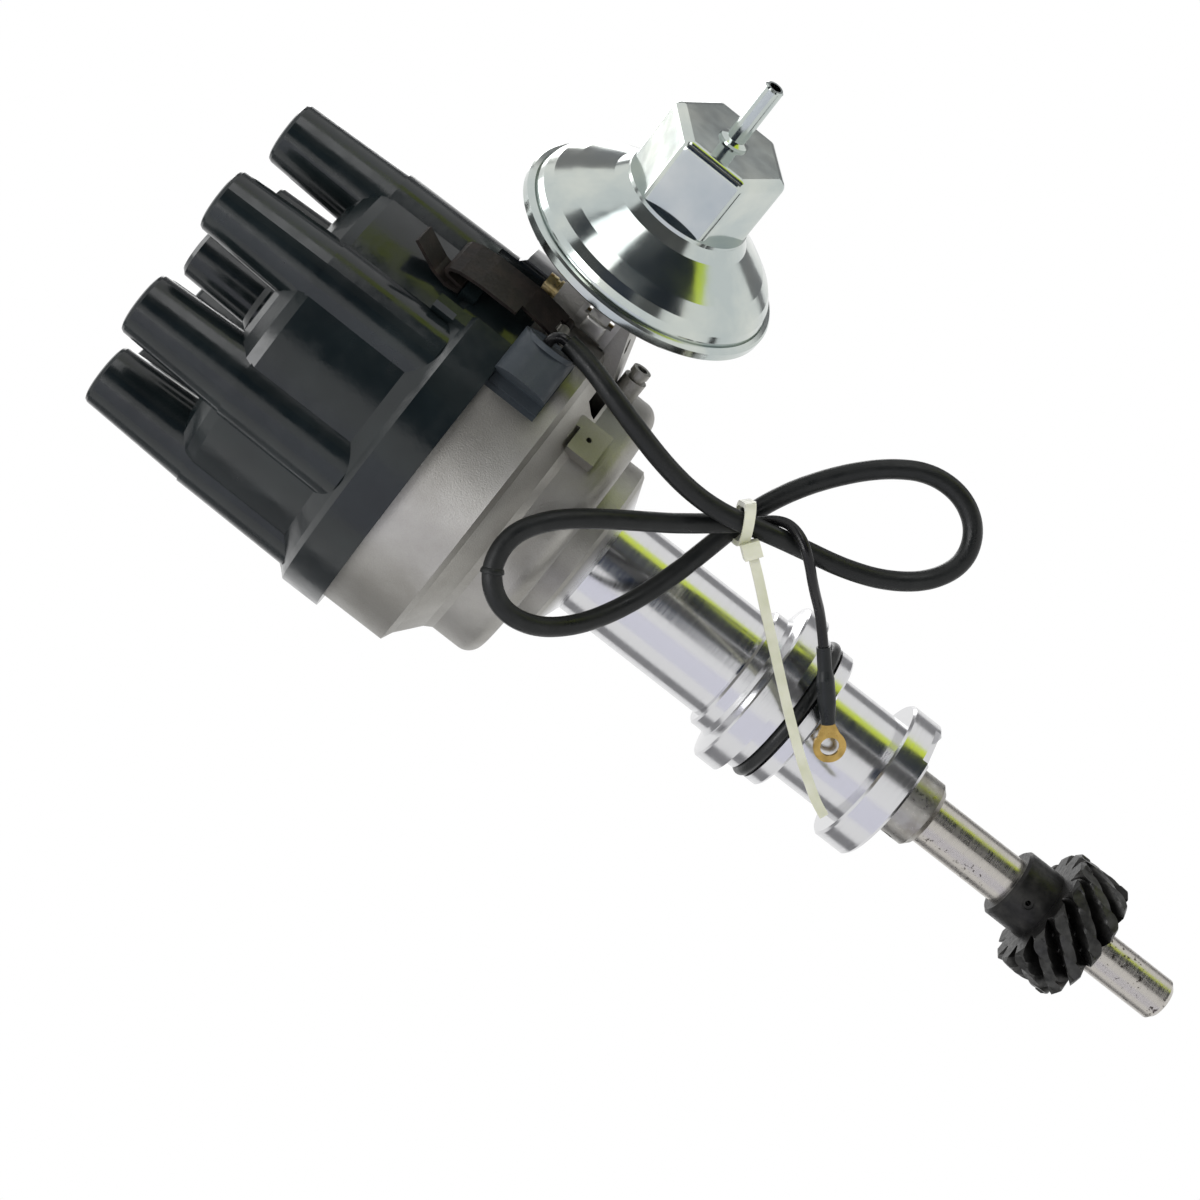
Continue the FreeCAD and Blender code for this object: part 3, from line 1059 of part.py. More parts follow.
def profile_of_front_shell(offset):
    """Half section of the front shell, as (radius, distance out from the rim), less a wall's thickness."""
    half_hex = HEX_FLATS / 2
    line = [
        (CAN_R - 1.9, 1.2), (CAN_R - 2.0, 2.6), (CAN_R - 2.6, 4.2), (CAN_R - 4.2, 6.2), (CAN_R - 7.6, 8.9),
        (CAN_R - 12.0, 11.7), (half_hex + 4.4, 14.3), (half_hex + 2.2, HEX_START),
    ]
    return [(radius - offset, out - offset * 0.8) for radius, out in line]


def front_shell():
    """The pressed cover, drawn out to a hollow hexagon that holds the spring."""
    def solid(offset):
        line = profile_of_front_shell(offset)
        top = HEX_START + THROUGH - offset
        dome = turned([(0, line[0][1])] + line + [(line[-1][0], top), (0, top)])
        hexagonal = hexagon(HEX_FLATS - 2 * offset, HEX_FOOT, HEX_END - offset)
        corners = [e for e in hexagonal.Edges if e.CenterOfMass.z > HEX_FOOT + THROUGH]
        return dome.fuse(hexagonal.makeFillet(HEX_ROUND - offset, corners))
    shell = solid(0).cut(solid(CAN_SHEET))
    flange = ring(CAN_R - 1.3, CAN_R - 6.0, 0.0, 1.2)
    bead = turned([
        (CAN_R - 1.6, -1.4), (CAN_R - 0.6, -1.6), (CAN_R, -1.0), (CAN_R, 0.9), (CAN_R - 0.5, 1.5),
        (CAN_R - 1.6, 1.7), (CAN_R - 2.0, 1.2), (CAN_R - 1.6, 0.0),
    ])
    bore = cylinder(NIPPLE_R, HEX_END - 4, HEX_END + 2)
    shell = joined([shell.cut(cylinder(CAN_R - 6.0, -1, 1.2)), flange, bead]).cut(bore)
    return on_rod_axis(moved(shell, 0, 0, RIM_X))


def back_shell():
    """The shallow cover behind the diaphragm, crimped in the front shell's bead."""
    neck = RIM_X - PAD_OUT - 0.4
    shell = turned([
        (ROD_WIDTH / 2 + 1.4, -neck), (CAN_R - 20.0, -neck), (CAN_R - 5.4, -1.5), (CAN_R - 1.6, -1.4),
        (CAN_R - 1.6, -0.6), (CAN_R - 5.8, -0.6), (CAN_R - 20.4, -neck + CAN_SHEET),
        (ROD_WIDTH / 2 + 1.4, -neck + CAN_SHEET),
    ])
    return on_rod_axis(moved(shell, 0, 0, RIM_X))


def diaphragm():
    """The rubber disc clamped between the shells."""
    disc = turned([
        (1.2, -0.5), (CAN_R - 13.0, -0.5), (CAN_R - 9.6, 1.0), (CAN_R - 7.2, 0.2), (CAN_R - 6.8, -0.6),
        (CAN_R - 1.7, -0.6), (CAN_R - 1.7, 0.0), (CAN_R - 6.2, 0.0), (CAN_R - 6.8, 0.8), (CAN_R - 9.6, 1.7),
        (CAN_R - 13.4, 0.2), (1.2, 0.2),
    ])
    return on_rod_axis(moved(disc, 0, 0, RIM_X))


def vacuum_spring():
    spring = ring(10.4, 8.8, 1.6, HEX_END - CAN_SHEET - 2.2)
    return on_rod_axis(moved(spring, 0, 0, RIM_X))


def nipple():
    """The hose tube on the hexagon's end, with the bead of its braze."""
    end = HEX_END + NIPPLE_LENGTH
    tube = turned([
        (NIPPLE_BORE_R, HEX_END - 2.4), (NIPPLE_R, HEX_END - 2.4), (NIPPLE_R, end - 0.4),
        (NIPPLE_R - 0.4, end), (NIPPLE_BORE_R, end),
    ])
    bead = turned([
        (NIPPLE_R, HEX_END), (NIPPLE_R + 1.4, HEX_END), (NIPPLE_R + 1.3, HEX_END + 0.7),
        (NIPPLE_R, HEX_END + 1.3),
    ])
    return on_rod_axis(moved(joined([tube, bead]), 0, 0, RIM_X))


def vacuum_bracket():
    """The folded steel arm that sits in the pad's slot and carries the back shell."""
    inner_end = WALL_R + 0.4
    low = block(PAD_IN, PAD_OUT, PAD_NEAR, PAD_FAR, SLOT_BOTTOM, SLOT_BOTTOM + BRACKET_T)
    high = block(PAD_IN, PAD_OUT, PAD_NEAR, PAD_FAR, SLOT_TOP - BRACKET_T, SLOT_TOP)
    flanges = low.fuse(high).common(cylinder(PAD_R, SLOT_BOTTOM - THROUGH, SLOT_TOP + THROUGH)).cut(
        cylinder(inner_end, SLOT_BOTTOM - THROUGH, SLOT_TOP + THROUGH))
    near = block(WALL_R + 1.0, PAD_OUT - 3.4, PAD_NEAR, PAD_NEAR + BRACKET_T, SLOT_BOTTOM + 0.4,
                 SLOT_TOP - 0.4)
    neck = block(PAD_OUT - 3.6, PAD_OUT + 0.4, PAD_NEAR, PAD_NEAR + BRACKET_T, SLOT_BOTTOM + 2.8,
                 SLOT_TOP - 2.4)
    end = block(PAD_OUT - BRACKET_T + 0.4, PAD_OUT + 0.4, PAD_NEAR, PAD_FAR, SLOT_BOTTOM, SLOT_TOP)
    tools = [
        cylinder(SCREW_R, SLOT_BOTTOM - THROUGH, SLOT_TOP + THROUGH, *NEAR_SCREW),
        cylinder(SCREW_R, SLOT_BOTTOM - THROUGH, SLOT_TOP + THROUGH, *FAR_SCREW),
        block(PAD_OUT - 4, PAD_OUT + 2, ROD_OFFSET - 5.0, ROD_OFFSET + 5.0, ROD_Z - 3.2, ROD_Z + 3.2),
    ]
    return vacuum_frame(joined([flanges, near, neck, end]).cut(tools))


def bracket_screws():
    """Plated screws with washers, down through the pad's upper ear."""
    screws = []
    for x, y in (NEAR_SCREW, FAR_SCREW):
        shank = cylinder(SCREW_R, PAD_BOTTOM, WALL_TOP, x, y)
        washer_top = WALL_TOP + SCREW_WASHER_T
        head_bottom = washer_top + SPRING_WASHER_T
        head_top = head_bottom + SCREW_HEAD_T
        washer = cylinder(SCREW_HEAD_R, WALL_TOP, washer_top, x, y)
        spring_washer = cylinder(SCREW_HEAD_R - 0.5, washer_top, head_bottom, x, y)
        head = cylinder(SCREW_HEAD_R - 0.1, head_bottom, head_top, x, y)
        slot = block(x - SCREW_HEAD_R, x + SCREW_HEAD_R, y - SCREW_SLOT_HALF, y + SCREW_SLOT_HALF,
                     head_top - SCREW_SLOT_DEPTH, head_top + THROUGH)
        screws.append(vacuum_frame(joined([shank, washer, spring_washer, head]).cut(slot)))
    return Part.makeCompound(screws)


def vacuum_rod():
    """The flat rod from the diaphragm to the pin of the breaker plate, with its backing plate."""
    pin = rod_pin_spot()
    turn_back = math.radians(-VACUUM_AZ)
    hook_x = pin.x * math.cos(turn_back) - pin.y * math.sin(turn_back)
    hook_y = pin.x * math.sin(turn_back) + pin.y * math.cos(turn_back)
    half = ROD_WIDTH / 2
    eye = cylinder(half + 1.0, ROD_BOTTOM, ROD_TOP, hook_x, hook_y)
    flat = block(hook_x, RIM_X - 0.5, ROD_OFFSET - half, ROD_OFFSET + half, ROD_BOTTOM, ROD_TOP)
    flat = vacuum_frame(eye.fuse(flat))
    stud = on_rod_axis(moved(cylinder(1.2, -1.0, 1.8), 0, 0, RIM_X))
    front = on_rod_axis(moved(cylinder(12.2, 0.2, 1.2).cut(cylinder(1.2, -3, 3)), 0, 0, RIM_X))
    spot = rod_pin_spot()
    hole = cylinder(ROD_PIN_R + SLIDING, ROD_BOTTOM - THROUGH, ROD_TOP + THROUGH, spot.x, spot.y)
    return joined([flat.cut(hole), stud, front])


def run_and_arc(points, section):
    """A section swept along straight runs joined by tangent arcs."""
    edges = []
    here = points[0]
    for index in range(1, len(points) - 1):
        corner = points[index]
        run_in = corner - points[index - 1]
        run_out = points[index + 1] - corner
        turn = run_in.getAngle(run_out)
        cut_back = ARC_SHARE * min(run_in.Length, run_out.Length)
        radius = cut_back / math.tan(turn / 2)
        way_in = vector(*run_in).normalize()
        way_out = vector(*run_out).normalize()
        start = corner - way_in * cut_back
        end = corner + way_out * cut_back
        depth = radius / math.cos(turn / 2) - radius
        middle = corner + (way_out - way_in).normalize() * depth
        edges.append(Part.LineSegment(here, start).toShape())
        edges.append(Part.Arc(start, middle, end).toShape())
        here = end
    edges.append(Part.LineSegment(here, points[-1]).toShape())
    return Part.Wire(edges).makePipeShell([section], True, False)


def route(points):
    return [vector(*place) for place in points]


def round_section(points, diameter):
    way = (points[1] - points[0]).normalize()
    return Part.Wire(Part.Circle(points[0], way, diameter / 2).toShape())


def round_lead(places, diameter):
    points = route(places)
    return run_and_arc(points, round_section(points, diameter))


def socket_for_wire(end, inner):
    """The hole that a wire enters by at the end of a sleeve, towards the inner point."""
    way = (vector(*inner) - vector(*end)).normalize()
    start = vector(*end) - way * THROUGH
    return Part.makeCylinder(WIRE_DIAMETER / 2 + WIRE_ROOM, LEAD_SOCKET_DEPTH + THROUGH + WIRE_ROOM,
                             start, way)


def lead_wire():
    """The bare start of the lead, from the grommet's hole down into its sleeve."""
    hole, outward = lead_exit()
    way = (vector(*LEAD_ROUTE[1]) - vector(*LEAD_ROUTE[0])).normalize()
    inside = vector(*LEAD_ROUTE[0]) + way * LEAD_SOCKET_DEPTH
    points = [hole - outward * LEAD_HOLE_DEPTH, vector(*LEAD_CORNER), inside]
    return run_and_arc(points, round_section(points, WIRE_DIAMETER))


def lead_sleeve():
    """The sleeved length of the lead, looped and gathered by the tie."""
    sleeve = round_lead(LEAD_ROUTE, SLEEVE_DIAMETER)
    ends = [socket_for_wire(LEAD_ROUTE[0], LEAD_ROUTE[1]), socket_for_wire(LEAD_ROUTE[-1], LEAD_ROUTE[-2])]
    return sleeve.cut(ends)


def earth_wire():
    return round_lead(WIRE_ROUTE, WIRE_DIAMETER)


def heat_shrink():
    """The shrunk sleeve over the terminal's barrel, swollen in the middle."""
    start, end = vector(*HEAT_SHRINK[0]), vector(*HEAT_SHRINK[1])
    run = end - start
    length = run.Length
    wire_r = WIRE_DIAMETER / 2
    body = turned([
        (0, 0), (wire_r + 0.45, 0), (wire_r + 0.5, length * 0.3), (wire_r + 0.95, length * 0.42),
        (wire_r + 0.95, length * 0.72), (wire_r + 0.4, length), (0, length),
    ])
    body.Placement = FreeCAD.Placement(start, FreeCAD.Rotation(vector(0, 0, 1), run))
    return body.cut(socket_for_wire(HEAT_SHRINK[0], HEAT_SHRINK[1]))


def ring_terminal():
    """The brass eye at the earth wire's end, with its tongue up to the heat-shrink."""
    end, centre = vector(*HEAT_SHRINK[1]), vector(*RING_CENTRE)
    run = end - centre
    along = (end - centre).normalize()
    across = along.cross(vector(*RING_FACING)).normalize()
    facing = across.cross(along)
    disc = cylinder(RING_R, -RING_T / 2, RING_T / 2)
    tongue = prism([(RING_R - 1.6, -3.0), (run.Length, -1.6), (run.Length, 1.6), (RING_R - 1.6, 3.0)],
                   -RING_T / 2, RING_T / 2)
    eye = joined([disc, tongue]).cut(cylinder(RING_HOLE_R, -THROUGH, THROUGH))
    turn = FreeCAD.Matrix(along.x, across.x, facing.x, centre.x, along.y, across.y, facing.y, centre.y,
                          along.z, across.z, facing.z, centre.z, 0, 0, 0, 1)
    return eye.transformGeometry(turn).cut(heat_shrink())


def cable_tie():
    """The nylon tie: a band round the gathered strands, its lock and its long tail."""
    normal = vector(*TIE_NORMAL).normalize()
    strands = Part.makePolygon(route(TIE_STRANDS) + route(TIE_STRANDS)[:1])
    inner = strands.makeOffset2D(TIE_STRAND_R)
    outer = strands.makeOffset2D(TIE_STRAND_R + TIE_T)
    band = Part.Face(outer).cut(Part.Face(inner)).extrude(normal * TIE_WIDTH)
    band.translate(normal * (-TIE_WIDTH / 2))
    points = route(TAIL_ROUTE)
    down = (points[1] - points[0]).normalize()
    across = down.cross(vector(0, 1, 0)).normalize()
    deep = across.cross(down).normalize()
    lock = oblong(points[0] - down * LOCK_LEAD, across, deep, LOCK_WIDTH, LOCK_DEPTH)
    lock = Part.Face(lock).extrude(down * LOCK_LENGTH)
    tail = run_and_arc(points, oblong(points[0], across, deep, TAIL_WIDTH, TAIL_T))
    return joined([band, lock, tail]).cut(lead_sleeve())


def oblong(centre, across, deep, width, depth):
    """A rectangle's outline, from its middle and two directions."""
    corners = []
    for side, face in ((-1, -1), (1, -1), (1, 1), (-1, 1)):
        corners.append(centre + across * (side * width / 2) + deep * (face * depth / 2))
    return Part.makePolygon(corners + corners[:1])


NODES = {
    "housing": housing,
    "upper_bush": lambda: bush(BOWL_FLOOR - UPPER_BUSH_LENGTH, UPPER_BUSH_TOP),
    "lower_bush": lambda: bush(LAND_BOTTOM, LAND_BOTTOM + LOWER_BUSH_LENGTH),
    "o_ring": o_ring,
    "oil_tube": oil_tube,
    "clip_pins": clip_pins,
    "front_clip": lambda: spring_clip(CLIP_AZ),
    "rear_clip": lambda: spring_clip(CLIP_AZ + 180),
    "grommet": grommet,
    "cap": cap,
    "plug_terminals": terminals,
    "coil_terminal": coil_terminal,
    "brush_spring": brush_spring,
    "carbon_brush": carbon_brush,
    "shaft": shaft,
    "thrust_collar": thrust_collar,
    "collar_pin": lambda: roll_pin(2 * COLLAR_R - PIN_SHORT, COLLAR_TOP - COLLAR_LENGTH / 2, COLLAR_PIN_AZ),
    "drive_gear": drive_gear,
    "gear_pin": lambda: roll_pin(2 * HUB_R - PIN_SHORT, HUB_TOP - HUB_HEIGHT / 2, GEAR_PIN_AZ),
    "thrust_washer": lambda: ring(BUSH_R, SHAFT_R, UPPER_BUSH_TOP + END_PLAY, WEIGHT_PLATE_Z),
    "weight_plate": weight_plate,
    "weight_pivots": weight_pivots,
    "weight_a": lambda: weight(0),
    "weight_b": lambda: weight(180),
    "advance_springs": advance_springs,
    "cam_sleeve": cam_sleeve,
    "sleeve_retainer": sleeve_retainer,
    "felt_wick": felt_wick,
    "rotor": rotor,
    "rotor_blade": rotor_blade,
    "base_plate": base_plate,
    "plate_screws": plate_screws,
    "breaker_plate": breaker_plate,
    "pivot_post": pivot_post,
    "contact_support": contact_support,
    "breaker_arm": breaker_arm,
    "condenser": condenser,
    "vacuum_front_shell": front_shell,
    "vacuum_back_shell": back_shell,
    "vacuum_nipple": nipple,
    "vacuum_bracket": vacuum_bracket,
    "bracket_screws": bracket_screws,
    "diaphragm": diaphragm,
    "vacuum_spring": vacuum_spring,
    "vacuum_rod": vacuum_rod,
    "lead_wire": lead_wire,
    "lead_sleeve": lead_sleeve,
    "earth_wire": earth_wire,
    "heat_shrink": heat_shrink,
    "ring_terminal": ring_terminal,
    "cable_tie": cable_tie,
}


def build():
    os.makedirs("parts", exist_ok=True)
    for name, make in NODES.items():
        shape = make()
        solids = shape.Solids
        print("%-20s solids %d, volume %.0f, valid %s" % (name, len(solids), shape.Volume, shape.isValid()))
        if shape.ShapeType != "Solid":
            shape = solids[0] if len(solids) == 1 else Part.makeCompound(solids)
        shape.exportStep("parts/%s.step" % name)


build()
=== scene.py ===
import math

import bpy
from mathutils import Matrix, Vector


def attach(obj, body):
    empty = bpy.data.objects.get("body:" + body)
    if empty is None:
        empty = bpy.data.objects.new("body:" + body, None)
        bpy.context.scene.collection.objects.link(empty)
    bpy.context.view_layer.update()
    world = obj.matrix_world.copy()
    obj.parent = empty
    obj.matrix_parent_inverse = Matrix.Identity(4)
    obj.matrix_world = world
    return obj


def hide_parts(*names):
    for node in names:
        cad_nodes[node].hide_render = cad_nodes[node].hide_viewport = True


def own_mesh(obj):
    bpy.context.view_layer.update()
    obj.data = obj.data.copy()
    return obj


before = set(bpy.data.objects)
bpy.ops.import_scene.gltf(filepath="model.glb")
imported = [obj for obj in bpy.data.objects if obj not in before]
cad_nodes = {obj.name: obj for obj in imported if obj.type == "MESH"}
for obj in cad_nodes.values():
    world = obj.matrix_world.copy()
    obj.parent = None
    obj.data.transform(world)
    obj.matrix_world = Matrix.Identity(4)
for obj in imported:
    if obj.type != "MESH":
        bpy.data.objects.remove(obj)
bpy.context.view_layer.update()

# Camera.
# It stands level with the bowl, in front of the spring clip, and looks down a little. It is rolled, so
# that the distributor leans over to the left as it does in the photograph.
millimetre = 0.001
camera_place = Vector((-7.45, -612.0, 92.8)) * millimetre
look_down = math.radians(4.1)
lean = math.radians(52.0)
sensor_width = 36.0
focal_length = 73.2
nearest_seen = 10 * millimetre
bpy.ops.object.select_all(action="DESELECT")
bpy.ops.object.camera_add(location=camera_place)
camera = bpy.context.object
camera.data.sensor_width = sensor_width
camera.data.lens = focal_length
camera.data.clip_start = nearest_seen
ahead = Vector((0.0, math.cos(look_down), -math.sin(look_down)))
level = Vector((1.0, 0.0, 0.0))
upright = level.cross(ahead)
camera_right = level * math.cos(lean) - upright * math.sin(lean)
camera_up = upright * math.cos(lean) + level * math.sin(lean)
turn = Matrix((camera_right, camera_up, -ahead)).transposed()
camera.matrix_world = Matrix.Translation(camera_place) @ turn.to_4x4()
bpy.context.scene.camera = camera
bpy.context.scene.view_settings.view_transform = "Standard"


# Lead.
# A black rubber sleeve over the distributor's primary lead, in two lengths, one pushed a little over the
# other at a raised lip in the left loop. It leaves the grommet, makes one loop to the right and one over
# the bowl, and is gathered with itself by a cable tie.
class Finish:
    """One surface, with patterns sized in millimetres and drawn on the object's own coordinates."""

    def __init__(self, name, colour, roughness, metallic=0.0):
        self.material = bpy.data.materials.new(name)
        self.material.use_nodes = True
        self.tree = self.material.node_tree
        self.inputs = self.tree.nodes["Principled BSDF"].inputs
        self.inputs["Base Color"].default_value = (*colour, 1.0)
        self.inputs["Roughness"].default_value = roughness
        self.inputs["Metallic"].default_value = metallic
        self.place = self.tree.nodes.new("ShaderNodeTexCoord").outputs["Object"]

    def join(self, output, node_input):
        """Links a node's output to another node's input."""
        self.tree.links.new(output, node_input)

    def grain(self, size, detail=4.0, stretch=(1.0, 1.0, 1.0)):
        """Noise with features of about this size, drawn out along the axes by stretch."""
        mapping = self.tree.nodes.new("ShaderNodeMapping")
        mapping.inputs["Scale"].default_value = [1.0 / (size * millimetre * way) for way in stretch]
        noise = self.tree.nodes.new("ShaderNodeTexNoise")
        noise.inputs["Scale"].default_value = 1.0
        noise.inputs["Detail"].default_value = detail
        self.join(self.place, mapping.inputs["Vector"])
        self.join(mapping.outputs["Vector"], noise.inputs["Vector"])
        return noise.outputs["Fac"]

    def share(self, value, low, high, least=0.0, most=1.0):
        """Runs from least, where a value is low, to most, where it is high."""
        node = self.tree.nodes.new("ShaderNodeMapRange")
        node.inputs["From Min"].default_value = low
        node.inputs["From Max"].default_value = high
        node.inputs["To Min"].default_value = least
        node.inputs["To Max"].default_value = most
        self.join(value, node.inputs["Value"])
        return node.outputs["Result"]

    def between(self, portion, first, second, kind="RGBA"):
        """A mix of two colours or values, each given as numbers or as another node's output."""
        node = self.tree.nodes.new("ShaderNodeMix")
        node.data_type = kind
        self.join(portion, node.inputs["Factor"])
        for socket, part in ((node.inputs["A"], first), (node.inputs["B"], second)):
            if isinstance(part, tuple):
                socket.default_value = (*part, 1.0)
            else:
                self.join(part, socket)
        return node.outputs["Result"]

    def paint(self, portion, first, second):
        """Colours the surface with a mix of two colours."""
        self.join(self.between(portion, first, second), self.inputs["Base Color"])

    def polish(self, pattern, smooth, rough, high=0.7):
        """Lets the roughness follow a pattern."""
        self.join(self.share(pattern, 0.3, high, smooth, rough), self.inputs["Roughness"])

    def emboss(self, height, depth):
        """Fine relief of a depth in millimetres. A second call adds to the first."""
        bump = self.tree.nodes.new("ShaderNodeBump")
        bump.inputs["Distance"].default_value = depth * millimetre
        if self.inputs["Normal"].is_linked:
            self.join(self.inputs["Normal"].links[0].from_socket, bump.inputs["Normal"])
        self.join(height, bump.inputs["Height"])
        self.join(bump.outputs["Normal"], self.inputs["Normal"])


def rubber(name, colour, dusty, roughness=0.42):
    """Black rubber with a little dust and a fine skin."""
    finish = Finish(name, colour, roughness)
    finish.inputs["Specular IOR Level"].default_value = 0.3
    finish.paint(finish.share(finish.grain(size=9.0), low=0.52, high=0.78, most=0.4), colour, dusty)
    finish.polish(finish.grain(size=4.0), smooth=roughness - 0.1, rough=roughness + 0.14)
    finish.emboss(finish.grain(size=0.6), depth=0.06)
    return finish


def metres(places):
    """Places in millimetres, as vectors in metres."""
    return [Vector(place) * millimetre for place in places]


def cord_line(name, places, diameter, steps=8):
    """A round cord along a smooth line through the route's points."""
    bpy.ops.object.select_all(action="DESELECT")
    bpy.ops.curve.primitive_nurbs_path_add(location=(0, 0, 0))
    cord = bpy.context.object
    cord.name = name
    spline = cord.data.splines[0]
    route = metres(places)
    spline.points.add(len(route) - len(spline.points))
    for point, spot in zip(spline.points, route):
        point.co = (*spot, 1.0)
    spline.order_u = 3
    spline.use_endpoint_u = True
    spline.resolution_u = steps
    cord.data.bevel_depth = diameter * millimetre / 2
    cord.data.bevel_resolution = 6
    cord.data.use_fill_caps = True
    return cord


def pick(piece):
    """Selects one piece alone and makes it the active one."""
    bpy.ops.object.select_all(action="DESELECT")
    piece.select_set(True)
    bpy.context.view_layer.objects.active = piece


def edit(piece, kind, wanted):
    """Opens a new piece in edit mode, with only those faces or edges selected that a test names."""
    bpy.ops.object.mode_set(mode="EDIT")
    bpy.ops.mesh.select_mode(type=kind)
    bpy.ops.mesh.select_all(action="DESELECT")
    bpy.ops.object.mode_set(mode="OBJECT")
    parts = piece.data.polygons if kind == "FACE" else piece.data.edges
    for part in parts:
        part.select = wanted(part)
    bpy.ops.object.mode_set(mode="EDIT")


def finished(piece, material, sharp_from=35.0):
    """Puts a piece's place into its mesh, smooths it between its corners and fixes it to the housing."""
    pick(piece)
    bpy.ops.object.transform_apply(location=True, rotation=True, scale=True)
    bpy.ops.object.shade_smooth_by_angle(angle=math.radians(sharp_from))
    piece.data.materials.append(material)
    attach(piece, "housing_body")


def facing(way):
    """The turn that points a piece's own Z axis along a way."""
    return way.to_track_quat("Z", "Y").to_euler()


def end_heights(piece, edge):
    """The heights of an edge's two ends on the piece's own Z axis."""
    return [piece.data.vertices[corner].co.z for corner in edge.vertices]


sleeve_diameter = 4.9
lead_route = [
    (34.9, -45.7, 94.8), (34.2, -46.2, 88.4), (31.8, -48, 80.4), (29.1, -47.5, 70.7), (26.7, -45, 60.3),
    (25.6, -41.8, 50.3), (26.4, -40.0, 40.7), (29.3, -39.4, 30.7), (31.8, -35.8, 20.8), (34.2, -34, 10.2),
    (38.2, -33.2, 0), (44.7, -33, -8.5), (53.2, -33, -12.4), (61.3, -33, -9.5), (65.8, -33, -1.8),
    (65.3, -32.5, 7.8), (59.8, -31.5, 16.4), (52.0, -30, 23.8), (42.2, -29.0, 30.6), (31.4, -28.6, 35.4),
    (19.4, -28.7, 38.0), (6.6, -29.5, 41.2), (-5.4, -32.5, 45.8), (-15.3, -37.5, 51.9), (-22.2, -43, 60.2),
    (-23.5, -46.5, 69.7), (-17.9, -47.5, 76.9), (-8.4, -47.5, 78.3), (0.1, -47, 73.0), (6.7, -45, 65.0),
    (12.9, -41.3, 55.9), (19.2, -37.8, 46.6), (27.6, -34.1, 36.4),
]
lead_black = (0.007, 0.008, 0.008)
lead_dust = (0.024, 0.026, 0.026)
lead = cord_line("lead", lead_route, sleeve_diameter)
lead_rubber = rubber("lead_rubber", lead_black, lead_dust, 0.36)
lead.data.materials.append(lead_rubber.material)
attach(lead, "housing_body")
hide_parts("lead_sleeve")

before, bend, after = metres(lead_route[25:28])
lip_width = 1.5
lip_height = 0.4
lip_taper = 0.88
lip_rounding = 0.25
# The corners of a cylinder's rims are farther than this share of its length from its middle.
near_end = 0.49
bpy.ops.object.select_all(action="DESELECT")
bpy.ops.mesh.primitive_cylinder_add(vertices=48, radius=(sleeve_diameter / 2 + lip_height) * millimetre,
                                    depth=lip_width * millimetre,
                                    location=(before + bend * 6 + after) / 8,
                                    rotation=facing(after - before))
lip = bpy.context.object
lip.name = "sleeve_joint"
bpy.ops.object.mode_set(mode="EDIT")
bpy.ops.mesh.subdivide(number_cuts=1)
bpy.ops.object.mode_set(mode="OBJECT")
edit(lip, "FACE", lambda face: face.normal.z > 0.9)
bpy.ops.transform.resize(value=(lip_taper, lip_taper, 1.0), orient_type="LOCAL")
bpy.ops.object.mode_set(mode="OBJECT")
rim_height = near_end * lip_width * millimetre
edit(lip, "EDGE", lambda edge: min(abs(end) for end in end_heights(lip, edge)) > rim_height)
bpy.ops.mesh.bevel(offset=lip_rounding * millimetre, segments=2)
bpy.ops.object.mode_set(mode="OBJECT")
finished(lip, lead_rubber.material)

# Earth wire.
# The stranded wire that runs inside the sleeve. Its bare start loops out of the grommet's side, and its
# far end leaves the sleeve under the tie and curls down to the ring terminal.
wire_diameter = 2.6
wire_route = [
    (25.8, -34.9, 38.6), (29.1, -33.5, 34.5), (34.3, -37.0, 29.1), (33.8, -41.0, 24.1), (30.4, -42.2, 19.1),
    (25.9, -37.5, 13.3), (21.9, -28.3, 5.9), (14.8, -26.5, -0.8),
]
wire_black = (0.007, 0.007, 0.008)
wire_dust = (0.02, 0.02, 0.022)
earth_wire = cord_line("wire", wire_route, wire_diameter)
wire_jacket = rubber("wire_jacket", wire_black, wire_dust, 0.2)
earth_wire.data.materials.append(wire_jacket.material)
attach(earth_wire, "housing_body")
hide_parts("earth_wire")


def dress(finish, *names):
    """Gives CAD nodes a finish."""
    for name in names:
        cad_nodes[name].data.materials.clear()
        cad_nodes[name].data.materials.append(finish.material)


dress(wire_jacket, "lead_wire")

# Heat-shrink.
# A shrunk black tube over the terminal's crimped barrel. It is swollen in the middle, where the barrel
# is, and creased where it has drawn in on the wire.
shrink_black = (0.008, 0.010, 0.011)
shrink_dust = (0.028, 0.034, 0.034)
dress(rubber("heat_shrink_black", shrink_black, shrink_dust, 0.3), "heat_shrink")


# Ring terminal.
# A stamped brass eye at the end of the earth wire, with rounded edges and a short tongue up to the
# heat-shrink.
def brass(name, colour, stain):
    """Pressed brass, a little tarnished."""
    finish = Finish(name, colour, 0.3, metallic=1.0)
    finish.paint(finish.share(finish.grain(size=3.0), low=0.4, high=0.7, most=0.8), colour, stain)
    scuffs = finish.grain(size=1.2)
    finish.polish(scuffs, smooth=0.24, rough=0.46)
    finish.emboss(scuffs, depth=0.03)
    return finish


def soften(width, *names):
    """Rounds the sharp edges of CAD nodes by a width in millimetres."""
    for name in names:
        soft_edge = cad_nodes[name].modifiers.new("soft_edge", "BEVEL")
        soft_edge.width = width * millimetre
        soft_edge.segments = 3
        soft_edge.limit_method = "ANGLE"
        soft_edge.angle_limit = math.radians(40.0)


terminal_yellow = (0.5, 0.34, 0.11)
terminal_stain = (0.26, 0.17, 0.05)
dress(brass("terminal_brass", terminal_yellow, terminal_stain), "ring_terminal")
soften(0.25, "ring_terminal")

